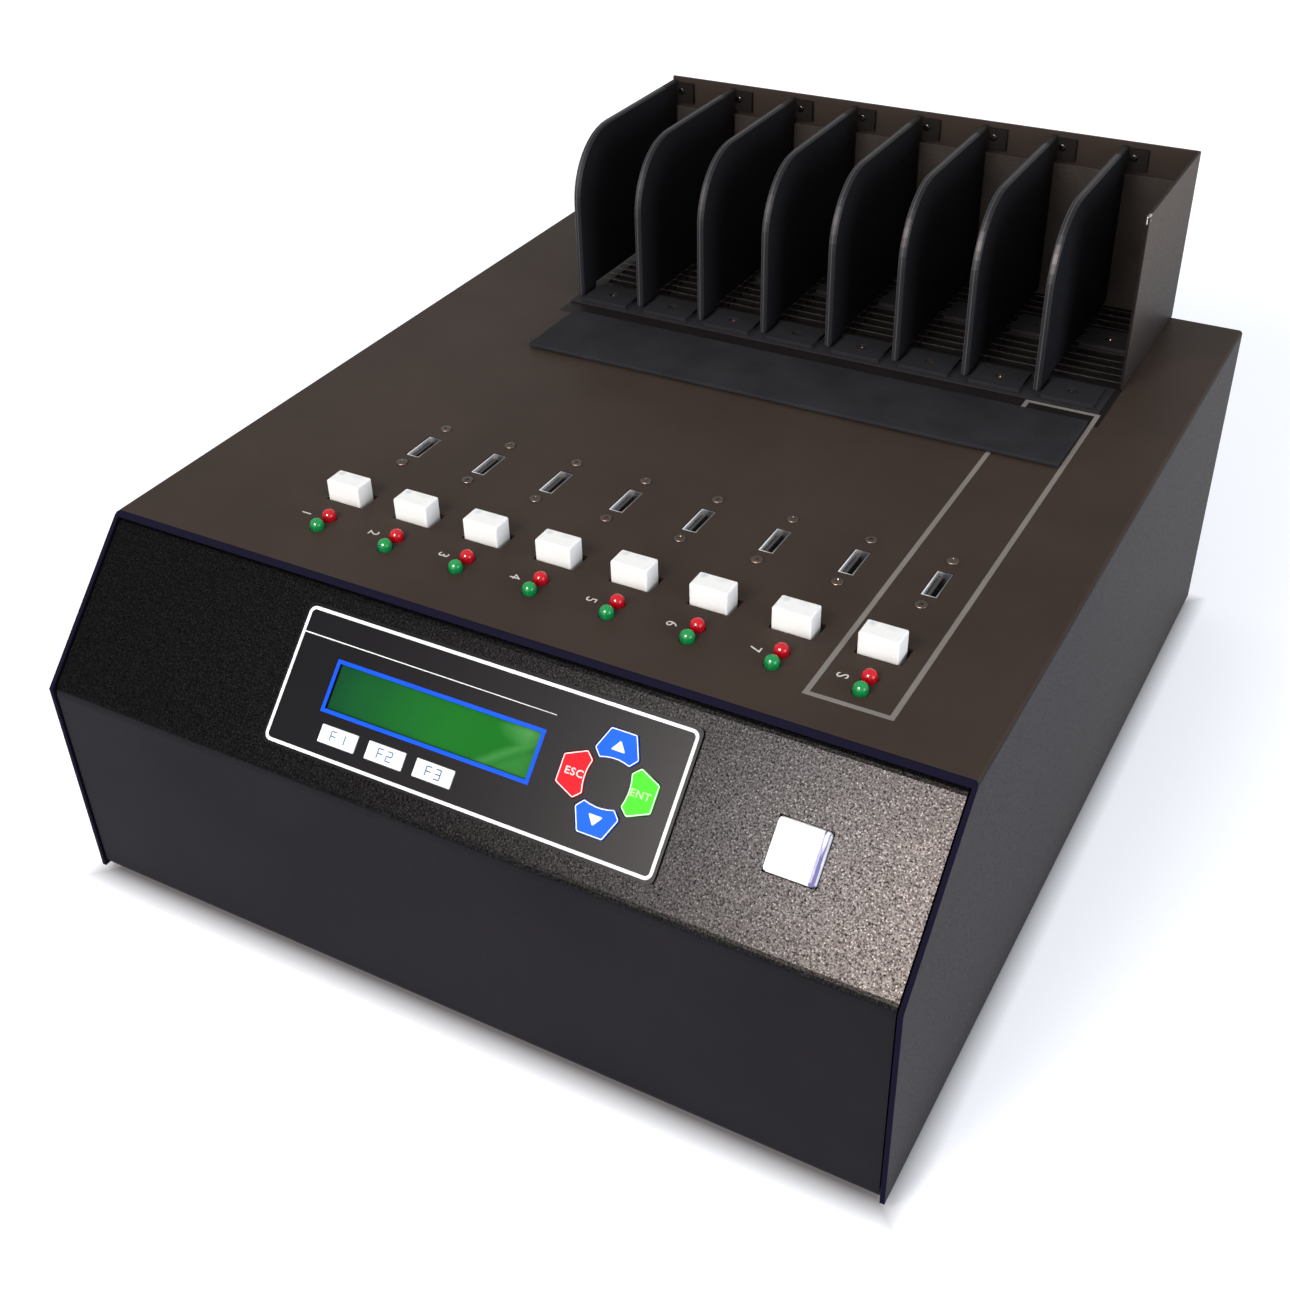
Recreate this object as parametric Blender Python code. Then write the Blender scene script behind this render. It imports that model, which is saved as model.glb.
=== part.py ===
"""Hard drive duplicator: a desktop case with a sloped control panel, eight drive columns and a rack.

Metres, +Z up, +X to the right of the person who works it, +Y to the rear. The whole machine, from
the front of the case to the rear switch, is centred over the origin and stands on its four feet.
Each column of the top plate has a socket, a power button and two lamps, and leads to one bay of the
rack behind.
"""

import math

import bmesh
import bpy
from mathutils import Matrix, Vector

# Case
CASE_WIDTH = 0.320
CASE_DEPTH = 0.366
CASE_HEIGHT = 0.132
FOOT_HEIGHT = 0.004
FRONT_HEIGHT = 0.0846
SLOPE_DEPTH = 0.0478
COVER_SHEET = 0.0016
COVER_BEND_RADIUS = 0.0014
BEND_STEPS = 4
PANEL_SHEET = 0.0015
PANEL_FOLD_RADIUS = 0.0022
PANEL_RECESS = 0.0007
PANEL_SIDE_GAP = 0.0007
FOLD_FLANGE = 0.014
PAN_SHEET = 0.0012
PAN_FLANGE = 0.016
REST_GAP = 0.0003
CUT_OVERRUN = 0.004
WELD_DEPTH = 0.0003
CORNER_STEPS = 4
SHARP_ANGLE = math.radians(40)

# Columns on the top plate: x from the middle of the case, y from its front
COLUMN_COUNT = 8
COLUMN_FIRST_X = -0.0883
COLUMN_PITCH = 0.0290
PORT_CENTRE_Y = 0.1343
PORT_SLOT_WIDTH = 0.0060
PORT_SLOT_LENGTH = 0.0158
PORT_WALL = 0.0005
PORT_CLEARANCE = 0.0003
PORT_CAVITY_DEPTH = 0.0090
PORT_TOP_DROP = 0.0003
PORT_TONGUE_WIDTH = 0.0012
PORT_TONGUE_LENGTH = 0.0118
PORT_TONGUE_RISE = 0.0080
PORT_TONGUE_SIDE = 0.0008
PORT_EAR_LENGTH = 0.0364
PORT_EAR_WIDTH = 0.0100
PORT_EAR_SHEET = 0.0022
PORT_EAR_RADIUS = 0.0033
PORT_EAR_STEPS = 2
PORT_BODY_LENGTH = 0.0190
PORT_BODY_WIDTH = 0.0090
PORT_BODY_DEPTH = 0.0075

# Drive buttons and lamps
CAP_OFFSET_X = -0.0018
CAP_FRONT_Y = 0.0882
CAP_WIDTH = 0.0136
CAP_DEPTH = 0.0082
CAP_RISE = 0.0075
CAP_EDGE = 0.0006
CAP_SKIRT_DROP = 0.0052
CAP_STEM_SIZE = 0.0046
CAP_STEM_DROP = 0.0156
CAP_CUT_SIDE = 0.0007
CAP_CUT_RIGHT = 0.0016
SWITCH_BODY_SIDE = 0.0100
SWITCH_BODY_HEIGHT = 0.0066
SWITCH_WELL_SIZE = 0.0052
SWITCH_WELL_DEPTH = 0.0058
LAMP_OFFSET_X = 0.0003
LAMP_GREEN_Y = 0.0703
LAMP_RED_Y = 0.0771
LAMP_RADIUS = 0.0024
LAMP_RISE = 0.0036
LAMP_HOLE_RADIUS = 0.0028
LAMP_STEPS = 10
LAMP_DOME_STEPS = 3
BOARD_SHEET = 0.0016
BOARD_DROP = 0.0210
BOARD_FRONT_Y = 0.0640
BOARD_BACK_Y = 0.1010
BOARD_SIDE_MARGIN = 0.0170
BOARD_POST_INSET = 0.0040
BOARD_POST_RADIUS = 0.0028

# Rack and mat: x from the middle of the case, setbacks from its rear
BAY_COUNT = 8
DIVIDER_FIRST_X = -0.1045
DIVIDER_PITCH = 0.0294
DIVIDER_SHEET = 0.0030
DIVIDER_SETBACK = 0.0900
DIVIDER_TOP = 0.0692
DIVIDER_ARC_RADIUS = 0.0280
DIVIDER_ARC_STEPS = 12
DIVIDER_RAISE = 0.0025
DIVIDER_FOOT_LENGTH = 0.0110
DIVIDER_EDGE = 0.0006
DIVIDER_BEND_EDGE = 0.0008
BACK_TAB_WIDTH = 0.0080
BACK_TAB_SHEET = 0.0012
BACK_TAB_INSET = 0.00015
BACK_TAB_BOTTOM = 0.0590
RACK_SHEET = 0.0012
RACK_LEFT_X = -0.1060
RACK_RIGHT_X = 0.1306
RACK_SIDE_SETBACK = 0.0740
RACK_TOP = 0.0704
RACK_APRON = 0.0130
RACK_BEND_RADIUS = 0.0010
BACK_PAD_THICKNESS = 0.0015
BACK_PAD_TOP = 0.0580
PAD_FIRST_X = -0.0897
PAD_PITCH = 0.0292
PAD_WIDTH = 0.0204
PAD_DEPTH = 0.0158
PAD_BASE_MARGIN = 0.0010
PAD_BASE_THICKNESS = 0.0009
PAD_THICKNESS = 0.0024
PAD_FRONT_SETBACK = 0.0948
PAD_REAR_SETBACK = 0.0440
PAD_STRIP_DEPTH = 0.0030
PAD_HOLE_RADIUS = 0.0022
PAD_HOLE_STEPS = 10
MAT_LEFT_X = -0.0981
MAT_RIGHT_X = 0.1267
MAT_FRONT_SETBACK = 0.1432
MAT_BACK_SETBACK = 0.1065
MAT_THICKNESS = 0.0020
SLOT_LEFT_OFFSET = -0.0118
SLOT_RIGHT_OFFSET = 0.0035
SLOT_WIDTH = 0.0034
SLOT_PITCH = 0.0059
SLOT_FRONT_SETBACK = 0.0699
SLOT_FRONT_COUNT = 5
SLOT_REAR_SETBACK = 0.0224
SLOT_REAR_COUNT = 4

# Control panel: x from the middle of the case, y up the slope from its lower edge
OVERLAY_LEFT = -0.0684
OVERLAY_RIGHT = 0.0787
OVERLAY_BOTTOM = 0.0092
OVERLAY_TOP = 0.0581
OVERLAY_RADIUS = 0.0024
OVERLAY_SHEET = 0.0008
WINDOW_LEFT = -0.0491
WINDOW_RIGHT = 0.0285
WINDOW_BOTTOM = 0.0260
WINDOW_TOP = 0.0416
PANEL_OPENING_MARGIN = 0.0035
SOFT_KEY_LEFTS = (-0.0475, -0.0288, -0.0101)
SOFT_KEY_WIDTH = 0.0144
SOFT_KEY_BOTTOM = 0.0153
SOFT_KEY_HEIGHT = 0.0060
KEY_CLEARANCE = 0.0003
KEY_THICKNESS = 0.0014
KEY_PROUD = 0.0003
KEY_TRAVEL = 0.0004
KEY_EDGE = 0.0002
RING_CENTRE_X = 0.0544
RING_CENTRE_Y = 0.0333
RING_OUTER = 0.0166
RING_SHOULDER = 0.0093
RING_INNER = 0.0067
RING_TOP_HALF = 0.0045
RING_SHOULDER_HALF = 0.0077
RING_INNER_HALF = 0.0053
RING_HOLLOW = 0.0008
RING_CORNER_RADIUS = 0.0008
KEY_CORNER_STEPS = 2
HOLLOW_STEPS = 5
KEYBOARD_DROP = 0.0068
KEYBOARD_MARGIN = 0.0060
KEYBOARD_POST_RADIUS = 0.0020
KEYBOARD_POST_INSET = 0.0026
KEY_STUD_RADIUS = 0.0018
LCD_MARGIN_X = 0.0030
LCD_MARGIN_Y = 0.0022
LCD_GLASS_STEP = 0.0008
LCD_GLASS_INSET = 0.0004

# Main power button on the slope
POWER_CENTRE_X = 0.1170
POWER_CENTRE_Y = 0.0329
POWER_CAP_SIDE = 0.0166
POWER_OPENING_SIDE = 0.0174
POWER_CAP_RISE = 0.0022
POWER_CAP_SKIRT = 0.0062
POWER_CAP_CHAMFER = 0.0012
POWER_BODY_WALL = 0.0012
POWER_BODY_DEPTH = 0.0150
POWER_WELL_DEPTH = 0.0095
POWER_BODY_FLANGE = 0.0030
POWER_FLANGE_SHEET = 0.0014

# Rear panel, fan, inlet
FAN_DEPTH = 0.0250
FAN_SIDE_MARGIN = 0.0450
FAN_CENTRE_Z = 0.0600
FAN_CORNER_RADIUS = 0.0060
FAN_DUCT_WALL = 0.0020
FAN_DUCT_STEPS = 24
FAN_CORNER_STEPS = 3
FAN_HOLE_SPACING = 0.0715
FAN_HOLE_MARGIN = 0.00425
FAN_HOLE_RADIUS = 0.0021
FAN_HOLE_STEPS = 8
FAN_MOTOR_RADIUS = 0.0155
FAN_MOTOR_STEPS = 24
FAN_MOTOR_DEPTH = 0.0030
FAN_STRUT_WIDTH = 0.0034
FAN_STRUT_COUNT = 3
FAN_STRUT_BITE = 0.0009
FAN_STRUT_FIRST = math.radians(90)
ROTOR_HUB_RADIUS = 0.0160
ROTOR_HUB_DEPTH = 0.0185
ROTOR_HUB_STEPS = 24
ROTOR_HUB_EDGE = 0.0010
ROTOR_TIP_GAP = 0.0012
ROTOR_BLADE_COUNT = 7
ROTOR_BLADE_SHEET = 0.0012
ROTOR_BLADE_DEPTH_SHARE = 0.86
ROTOR_ROOT_SWEEP = math.radians(34)
ROTOR_TIP_SWEEP = math.radians(30)
ROTOR_BLADE_STEPS = 4
ROTOR_CHORD_STEPS = 2
GUARD_SHEET = 0.0012
GUARD_INSET = 0.0002
GUARD_RING_COUNT = 5
GUARD_FIRST_RADIUS = 0.0100
GUARD_RIM = 0.0058
GUARD_SLOT_WIDTH = 0.0040
GUARD_SPOKE_WIDTH = 0.0030
GUARD_SPOKE_COUNT = 4
GUARD_SLOT_STEPS = 3
GUARD_EAR_HALF_WIDTH = 0.0042
GUARD_EAR_BITE = 0.0015
GUARD_EAR_STEPS = 3
INLET_SIDE_MARGIN = 0.0360
INLET_CENTRE_Z = 0.0500
INLET_FLANGE_WIDTH = 0.0320
INLET_FLANGE_HEIGHT = 0.0520
INLET_FLANGE_SHEET = 0.0024
INLET_FLANGE_RADIUS = 0.0030
INLET_BODY_WIDTH = 0.0272
INLET_BODY_HEIGHT = 0.0472
INLET_BODY_DEPTH = 0.0240
INLET_SOCKET_RISE = -0.0100
INLET_SOCKET_WIDTH = 0.0230
INLET_SOCKET_HEIGHT = 0.0160
INLET_SOCKET_DEPTH = 0.0170
INLET_SOCKET_CHAMFER = 0.0050
INLET_PIN_WIDTH = 0.0020
INLET_PIN_HEIGHT = 0.0040
INLET_PIN_LENGTH = 0.0130
INLET_PIN_SPACING = 0.0070
INLET_EARTH_RISE = 0.0035
INLET_LINE_DROP = -0.0020
ROCKER_RISE = 0.0130
ROCKER_WIDTH = 0.0190
ROCKER_HEIGHT = 0.0130
ROCKER_DEPTH = 0.0070
ROCKER_PROUD = 0.0016
ROCKER_DISH = 0.0014
ROCKER_WELL_MARGIN = 0.0005
ROCKER_WELL_DEPTH = 0.0110
ROCKER_TILT = math.radians(7)
ROCKER_BELLY_DEPTH = 0.0070
ROCKER_BELLY_START = math.radians(250)
ROCKER_BELLY_END = math.radians(110)
ROCKER_ARC_STEPS = 8

# Pieces inside the case
SUPPLY_WIDTH = 0.0980
SUPPLY_DEPTH = 0.1600
SUPPLY_HEIGHT = 0.0400
SUPPLY_SETBACK = 0.0610
SUPPLY_EDGE = 0.0015
TERMINAL_COUNT = 6
TERMINAL_PITCH = 0.0095
TERMINAL_WIDTH = 0.0018
TERMINAL_DEPTH = 0.0120
TERMINAL_HEIGHT = 0.0110
TERMINAL_FLOOR_HEIGHT = 0.0040
MAIN_BOARD_WIDTH = 0.1500
MAIN_BOARD_DEPTH = 0.1700
MAIN_BOARD_SETBACK = 0.0860
MAIN_BOARD_STANDOFF = 0.0080
MAIN_BOARD_INSET = 0.0060
SOCKET_ROW_SETBACK = 0.0120
STANDOFF_RADIUS = 0.0030
STANDOFF_STEPS = 10
CHIP_SIDE = 0.0300
CHIP_HEIGHT = 0.0030
FIN_COUNT = 7
FIN_SHEET = 0.0014
FIN_HEIGHT = 0.0120
SOCKET_ROW_COUNT = 8
SOCKET_ROW_PITCH = 0.0165
SOCKET_ROW_WIDTH = 0.0140
SOCKET_ROW_DEPTH = 0.0060
SOCKET_ROW_HEIGHT = 0.0080

# Feet
FOOT_RADIUS = 0.0075
FOOT_TOP_RADIUS = 0.0085
FOOT_INSET = 0.0280
FOOT_RECESS_RADIUS = 0.0030
FOOT_RECESS_DEPTH = 0.0020
FOOT_STEPS = 20

LEFT = -CASE_WIDTH / 2
FAN_SIDE = FAN_HOLE_SPACING + 2 * FAN_HOLE_MARGIN
FAN_DUCT_RADIUS = FAN_SIDE / 2 - FAN_DUCT_WALL
ROTOR_TIP_RADIUS = FAN_DUCT_RADIUS - ROTOR_TIP_GAP
GUARD_RADIUS = FAN_SIDE / 2 - GUARD_INSET
GUARD_RING_PITCH = (GUARD_RADIUS - GUARD_RIM - GUARD_FIRST_RADIUS) / (GUARD_RING_COUNT - 1)
FAN_CENTRE_X = LEFT + FAN_SIDE_MARGIN + FAN_SIDE / 2
INLET_CENTRE_X = -LEFT - INLET_SIDE_MARGIN - INLET_FLANGE_WIDTH / 2
# The main board and the supply share the case's width: left of the board, between them, right of the supply
INNER_WIDTH = CASE_WIDTH - 2 * COVER_SHEET
FREE_WIDTH = INNER_WIDTH - MAIN_BOARD_WIDTH - SUPPLY_WIDTH
BOARD_LEFT_SHARE = 0.267
SUPPLY_RIGHT_SHARE = 0.282
MAIN_BOARD_CENTRE_X = -INNER_WIDTH / 2 + FREE_WIDTH * BOARD_LEFT_SHARE + MAIN_BOARD_WIDTH / 2
SUPPLY_CENTRE_X = INNER_WIDTH / 2 - FREE_WIDTH * SUPPLY_RIGHT_SHARE - SUPPLY_WIDTH / 2
REAR_REACH = (
    REST_GAP
    + INLET_FLANGE_SHEET
    - ROCKER_DEPTH / 2
    + (ROCKER_DEPTH / 2 + ROCKER_PROUD) * math.cos(ROCKER_TILT)
    + ROCKER_HEIGHT / 2 * math.sin(ROCKER_TILT)
)
FRONT = -(CASE_DEPTH + REAR_REACH) / 2
REAR = FRONT + CASE_DEPTH
BASE = FOOT_HEIGHT
TOP = BASE + CASE_HEIGHT
PLATE_UNDERSIDE = TOP - COVER_SHEET
SLOPE_ANGLE = math.atan2(CASE_HEIGHT - FRONT_HEIGHT, SLOPE_DEPTH)
PAN_UNDERSIDE = BASE + PANEL_SHEET + REST_GAP
PAN_FLOOR = PAN_UNDERSIDE + PAN_SHEET
BAY_FIRST_X = DIVIDER_FIRST_X + DIVIDER_PITCH / 2


def clear_scene():
    for existing in list(bpy.data.objects):
        bpy.data.objects.remove(existing, do_unlink=True)


def make_material(name, colour, roughness, metallic=0.0):
    material = bpy.data.materials.new(name)
    material.use_nodes = True
    shader = material.node_tree.nodes["Principled BSDF"]
    shader.inputs["Base Color"].default_value = (*colour, 1.0)
    shader.inputs["Roughness"].default_value = roughness
    shader.inputs["Metallic"].default_value = metallic
    return material


def add_object(name, shape, material, location=(0, 0, 0), parent=None, smooth=False):
    bmesh.ops.recalc_face_normals(shape, faces=shape.faces[:])
    mesh = bpy.data.meshes.new(name)
    shape.to_mesh(mesh)
    shape.free()
    mesh.materials.append(material)
    if smooth:
        mesh.shade_smooth()
    return place_mesh(name, mesh, location, parent)


def place_mesh(name, mesh, location, parent=None):
    placed = bpy.data.objects.new(name, mesh)
    placed.location = location
    placed.parent = parent
    bpy.context.collection.objects.link(placed)
    return placed


def operate(target, shape, name, operation):
    """Cuts the shape from the target, or fuses it on, in the target's own coordinates."""
    tool = add_object(name, shape, target.data.materials[0], parent=target)
    tool.hide_render = True
    tool.display_type = "WIRE"
    modifier = target.modifiers.new(name, "BOOLEAN")
    modifier.operation = operation
    modifier.solver = "EXACT"
    modifier.object = tool


def cut(target, shape, name):
    operate(target, shape, name, "DIFFERENCE")


def fuse(target, shape, name):
    operate(target, shape, name, "UNION")


def soften(target, width, segments=1):
    modifier = target.modifiers.new("edge", "BEVEL")
    modifier.width = width
    modifier.segments = segments
    modifier.limit_method = "ANGLE"
    modifier.angle_limit = SHARP_ANGLE


def add_block(shape, low, high):
    size = Vector(high) - Vector(low)
    centre = (Vector(high) + Vector(low)) / 2
    matrix = Matrix.Translation(centre) @ Matrix.Diagonal((*size, 1.0))
    bmesh.ops.create_cube(shape, size=1.0, matrix=matrix)


def block(low, high):
    shape = bmesh.new()
    add_block(shape, low, high)
    return shape


def add_drum(shape, radius, low, high, centre, steps, top_radius=None):
    """An upright drum between two heights; another top radius makes it a cone."""
    matrix = Matrix.Translation((centre[0], centre[1], (low + high) / 2))
    bmesh.ops.create_cone(
        shape,
        cap_ends=True,
        segments=steps,
        radius1=radius,
        radius2=radius if top_radius is None else top_radius,
        depth=high - low,
        matrix=matrix,
    )


def add_prism(shape, outline, low, high):
    """A flat outline of (x, y) points raised from one height to another."""
    corners = [shape.verts.new((x, y, low)) for x, y in outline]
    face = shape.faces.new(corners)
    raised = bmesh.ops.extrude_face_region(shape, geom=[face])["geom"]
    moved = [part for part in raised if isinstance(part, bmesh.types.BMVert)]
    bmesh.ops.translate(shape, verts=moved, vec=(0, 0, high - low))


def prism(outline, low, high):
    shape = bmesh.new()
    add_prism(shape, outline, low, high)
    return shape


def arc(centre, radius, start, end, steps):
    return [
        (
            centre[0] + radius * math.cos(start + (end - start) * step / steps),
            centre[1] + radius * math.sin(start + (end - start) * step / steps),
        )
        for step in range(steps + 1)
    ]


def rounded_rectangle(left, bottom, right, top, radius, steps=CORNER_STEPS):
    quarter = math.pi / 2
    centres = (
        (right - radius, top - radius),
        (left + radius, top - radius),
        (left + radius, bottom + radius),
        (right - radius, bottom + radius),
    )
    outline = []
    for turn, centre in enumerate(centres):
        outline += arc(centre, radius, quarter * turn, quarter * (turn + 1), steps)
    return outline


def rounded_corners(outline, radius, steps):
    """The outline with each corner replaced by an arc of one radius."""
    result = []
    for index, corner in enumerate(outline):
        here = Vector(corner)
        before = (Vector(outline[index - 1]) - here).normalized()
        after = (Vector(outline[(index + 1) % len(outline)]) - here).normalized()
        half = before.angle(after) / 2
        centre = here + (before + after).normalized() * radius / math.sin(half)
        start = here + before * radius / math.tan(half) - centre
        sweep = start.angle_signed(here + after * radius / math.tan(half) - centre)
        first = math.atan2(start.y, start.x)
        result += arc(centre, radius, first, first - sweep, steps)
    return result


def turned(shape, matrix):
    bmesh.ops.transform(shape, matrix=matrix, verts=shape.verts[:])
    return shape


def standing(shape):
    """Turns a prism drawn in x and y so that its y is height and it grows towards the front."""
    return turned(shape, Matrix.Rotation(math.pi / 2, 4, "X"))


def sideways(shape):
    """Turns a prism drawn in (y, z) points so that it grows towards +X."""
    return turned(shape, Matrix(((0, 0, 1, 0), (1, 0, 0, 0), (0, 1, 0, 0), (0, 0, 0, 1))))


def column_x(index):
    return COLUMN_FIRST_X + COLUMN_PITCH * index


def bay_x(index):
    return BAY_FIRST_X + DIVIDER_PITCH * index


def pad_x(index):
    return PAD_FIRST_X + PAD_PITCH * index


def cap_centre(index):
    return (column_x(index) + CAP_OFFSET_X, FRONT + CAP_FRONT_Y + CAP_DEPTH / 2)


def wrap_cover(material):
    """Top and both sides bent from one sheet, trimmed to the slope and pierced."""
    half = CASE_WIDTH / 2
    inner = half - COVER_SHEET
    radius = COVER_BEND_RADIUS
    quarter = math.pi / 2
    outline = [(-half, BASE), (-inner, BASE), (-inner, PLATE_UNDERSIDE)]
    outline += [(inner, PLATE_UNDERSIDE), (inner, BASE), (half, BASE)]
    outline += arc((half - radius, TOP - radius), radius, 0, quarter, BEND_STEPS)
    outline += arc((-half + radius, TOP - radius), radius, quarter, 2 * quarter, BEND_STEPS)
    shape = standing(prism(outline, -REAR, -FRONT))
    cover = add_object("wrap_cover", shape, material)

    wedge = [
        (FRONT, BASE + FRONT_HEIGHT),
        (FRONT + SLOPE_DEPTH, TOP),
        (FRONT + SLOPE_DEPTH, TOP + CUT_OVERRUN),
        (FRONT - CUT_OVERRUN, TOP + CUT_OVERRUN),
        (FRONT - CUT_OVERRUN, BASE + FRONT_HEIGHT),
    ]
    trimmer = sideways(prism(wedge, -half - CUT_OVERRUN, half + CUT_OVERRUN))
    cut(cover, trimmer, "slope_trim")

    low = PLATE_UNDERSIDE - CUT_OVERRUN
    high = TOP + CUT_OVERRUN
    holes = bmesh.new()
    for index in range(COLUMN_COUNT):
        x = column_x(index)
        y = FRONT + PORT_CENTRE_Y
        half_width = PORT_SLOT_WIDTH / 2
        half_length = PORT_SLOT_LENGTH / 2
        add_block(
            holes,
            (x - half_width, y - half_length, low),
            (x + half_width, y + half_length, high),
        )
        cap_x, cap_y = cap_centre(index)
        half_width = CAP_WIDTH / 2
        half_length = CAP_DEPTH / 2 + CAP_CUT_SIDE
        add_block(
            holes,
            (cap_x - half_width - CAP_CUT_SIDE, cap_y - half_length, low),
            (cap_x + half_width + CAP_CUT_RIGHT, cap_y + half_length, high),
        )
        for lamp_y in (LAMP_GREEN_Y, LAMP_RED_Y):
            centre = (x + LAMP_OFFSET_X, FRONT + lamp_y)
            add_drum(holes, LAMP_HOLE_RADIUS, low, high, centre, LAMP_STEPS)
    cut(cover, holes, "column_holes")

    slots = bmesh.new()
    rows = [REAR - SLOT_FRONT_SETBACK + SLOT_PITCH * row for row in range(SLOT_FRONT_COUNT)]
    rows += [REAR - SLOT_REAR_SETBACK + SLOT_PITCH * row for row in range(SLOT_REAR_COUNT)]
    for index in range(BAY_COUNT):
        for row in rows:
            add_block(
                slots,
                (bay_x(index) + SLOT_LEFT_OFFSET, row - SLOT_WIDTH / 2, low),
                (bay_x(index) + SLOT_RIGHT_OFFSET, row + SLOT_WIDTH / 2, high),
            )
    cut(cover, slots, "vent_slots")


def folded_sheet(name, path, sheet, half_width, material):
    """A sheet of one thickness laid inside a path of (y, z) points, each fold rounded by a bevel."""
    shape = bmesh.new()
    row = [shape.verts.new((-half_width, y, z)) for y, z in path]
    edges = [shape.edges.new(pair) for pair in zip(row, row[1:])]
    grown = bmesh.ops.extrude_edge_only(shape, edges=edges)["geom"]
    moved = [part for part in grown if isinstance(part, bmesh.types.BMVert)]
    bmesh.ops.translate(shape, verts=moved, vec=(2 * half_width, 0, 0))
    shape.edges.ensure_lookup_table()
    folds = [edge for edge in shape.edges if len(edge.link_faces) == 2]
    bmesh.ops.bevel(
        shape,
        geom=folds,
        offset=PANEL_FOLD_RADIUS,
        offset_type="OFFSET",
        segments=BEND_STEPS,
        profile=0.5,
        affect="EDGES",
    )
    panel = add_object(name, shape, material)
    thickness = panel.modifiers.new("sheet", "SOLIDIFY")
    thickness.thickness = sheet
    thickness.offset = 1.0
    thickness.use_even_offset = True
    return panel


def front_bezel(material):
    """Bottom flange, upright face, slope and top lip folded from one sheet."""
    half_width = CASE_WIDTH / 2 - COVER_SHEET - PANEL_SIDE_GAP
    inset = PANEL_RECESS + PANEL_SHEET
    fold_drop = inset * math.tan((math.pi / 2 - SLOPE_ANGLE) / 2)
    lip_height = PLATE_UNDERSIDE - REST_GAP - PANEL_SHEET
    slope_run = (lip_height - BASE - FRONT_HEIGHT) / math.tan(SLOPE_ANGLE)
    slope_shift = inset / math.sin(SLOPE_ANGLE)
    path = [
        (FRONT + FOLD_FLANGE, BASE + PANEL_SHEET),
        (FRONT + inset, BASE + PANEL_SHEET),
        (FRONT + inset, BASE + FRONT_HEIGHT - fold_drop),
        (FRONT + slope_run + slope_shift, lip_height),
        (FRONT + slope_run + slope_shift + FOLD_FLANGE, lip_height),
    ]
    return folded_sheet("front_bezel", path, PANEL_SHEET, half_width, material)


def slope_frame():
    """An empty on the lower edge of the slope: its y runs up the slope and its z points out."""
    frame = bpy.data.objects.new("slope_frame", None)
    frame.location = (0, FRONT, BASE + FRONT_HEIGHT)
    frame.rotation_euler = (SLOPE_ANGLE, 0, 0)
    bpy.context.collection.objects.link(frame)
    return frame


def cut_slope_openings(bezel):
    """The panel window and the square hole of the power button, both square to the slope."""
    margin = PANEL_OPENING_MARGIN
    openings = block(
        (OVERLAY_LEFT + margin, OVERLAY_BOTTOM + margin, -CUT_OVERRUN),
        (OVERLAY_RIGHT - margin, OVERLAY_TOP - margin, CUT_OVERRUN),
    )
    half = POWER_OPENING_SIDE / 2
    add_block(
        openings,
        (POWER_CENTRE_X - half, POWER_CENTRE_Y - half, -CUT_OVERRUN),
        (POWER_CENTRE_X + half, POWER_CENTRE_Y + half, CUT_OVERRUN),
    )
    to_world = Matrix.Translation((0, FRONT, BASE + FRONT_HEIGHT))
    turned(openings, to_world @ Matrix.Rotation(SLOPE_ANGLE, 4, "X"))
    cut(bezel, openings, "slope_openings")


def base_pan(material):
    """The floor of the case, a tray with turned-up sides that carries the inner pieces."""
    half = CASE_WIDTH / 2 - COVER_SHEET - REST_GAP
    front = FRONT + PANEL_RECESS + PANEL_SHEET + PANEL_FOLD_RADIUS
    rear = REAR - PANEL_SHEET - PANEL_FOLD_RADIUS
    outline = [
        (-half, PAN_UNDERSIDE),
        (half, PAN_UNDERSIDE),
        (half, PAN_UNDERSIDE + PAN_FLANGE),
        (half - PAN_SHEET, PAN_UNDERSIDE + PAN_FLANGE),
        (half - PAN_SHEET, PAN_FLOOR),
        (-half + PAN_SHEET, PAN_FLOOR),
        (-half + PAN_SHEET, PAN_UNDERSIDE + PAN_FLANGE),
        (-half, PAN_UNDERSIDE + PAN_FLANGE),
    ]
    add_object("base_pan", standing(prism(outline, -rear, -front)), material)


def rear_panel(material):
    """Upright rear sheet with a bottom flange, holed for the fan and the inlet."""
    path = [
        (REAR - PANEL_SHEET, PLATE_UNDERSIDE - REST_GAP),
        (REAR - PANEL_SHEET, BASE + PANEL_SHEET),
        (REAR - FOLD_FLANGE, BASE + PANEL_SHEET),
    ]
    sheet_half_width = CASE_WIDTH / 2 - COVER_SHEET - REST_GAP
    panel = folded_sheet("rear_panel", path, PANEL_SHEET, sheet_half_width, material)
    near = -REAR - CUT_OVERRUN
    far = -REAR + FOLD_FLANGE
    holes = bmesh.new()
    centre = (FAN_CENTRE_X, FAN_CENTRE_Z)
    add_drum(holes, FAN_DUCT_RADIUS, near, far, centre, FAN_DUCT_STEPS)
    half_width = INLET_BODY_WIDTH / 2 + REST_GAP
    half_height = INLET_BODY_HEIGHT / 2 + REST_GAP
    add_block(
        holes,
        (INLET_CENTRE_X - half_width, INLET_CENTRE_Z - half_height, near),
        (INLET_CENTRE_X + half_width, INLET_CENTRE_Z + half_height, far),
    )
    cut(panel, standing(holes), "rear_holes")


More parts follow.
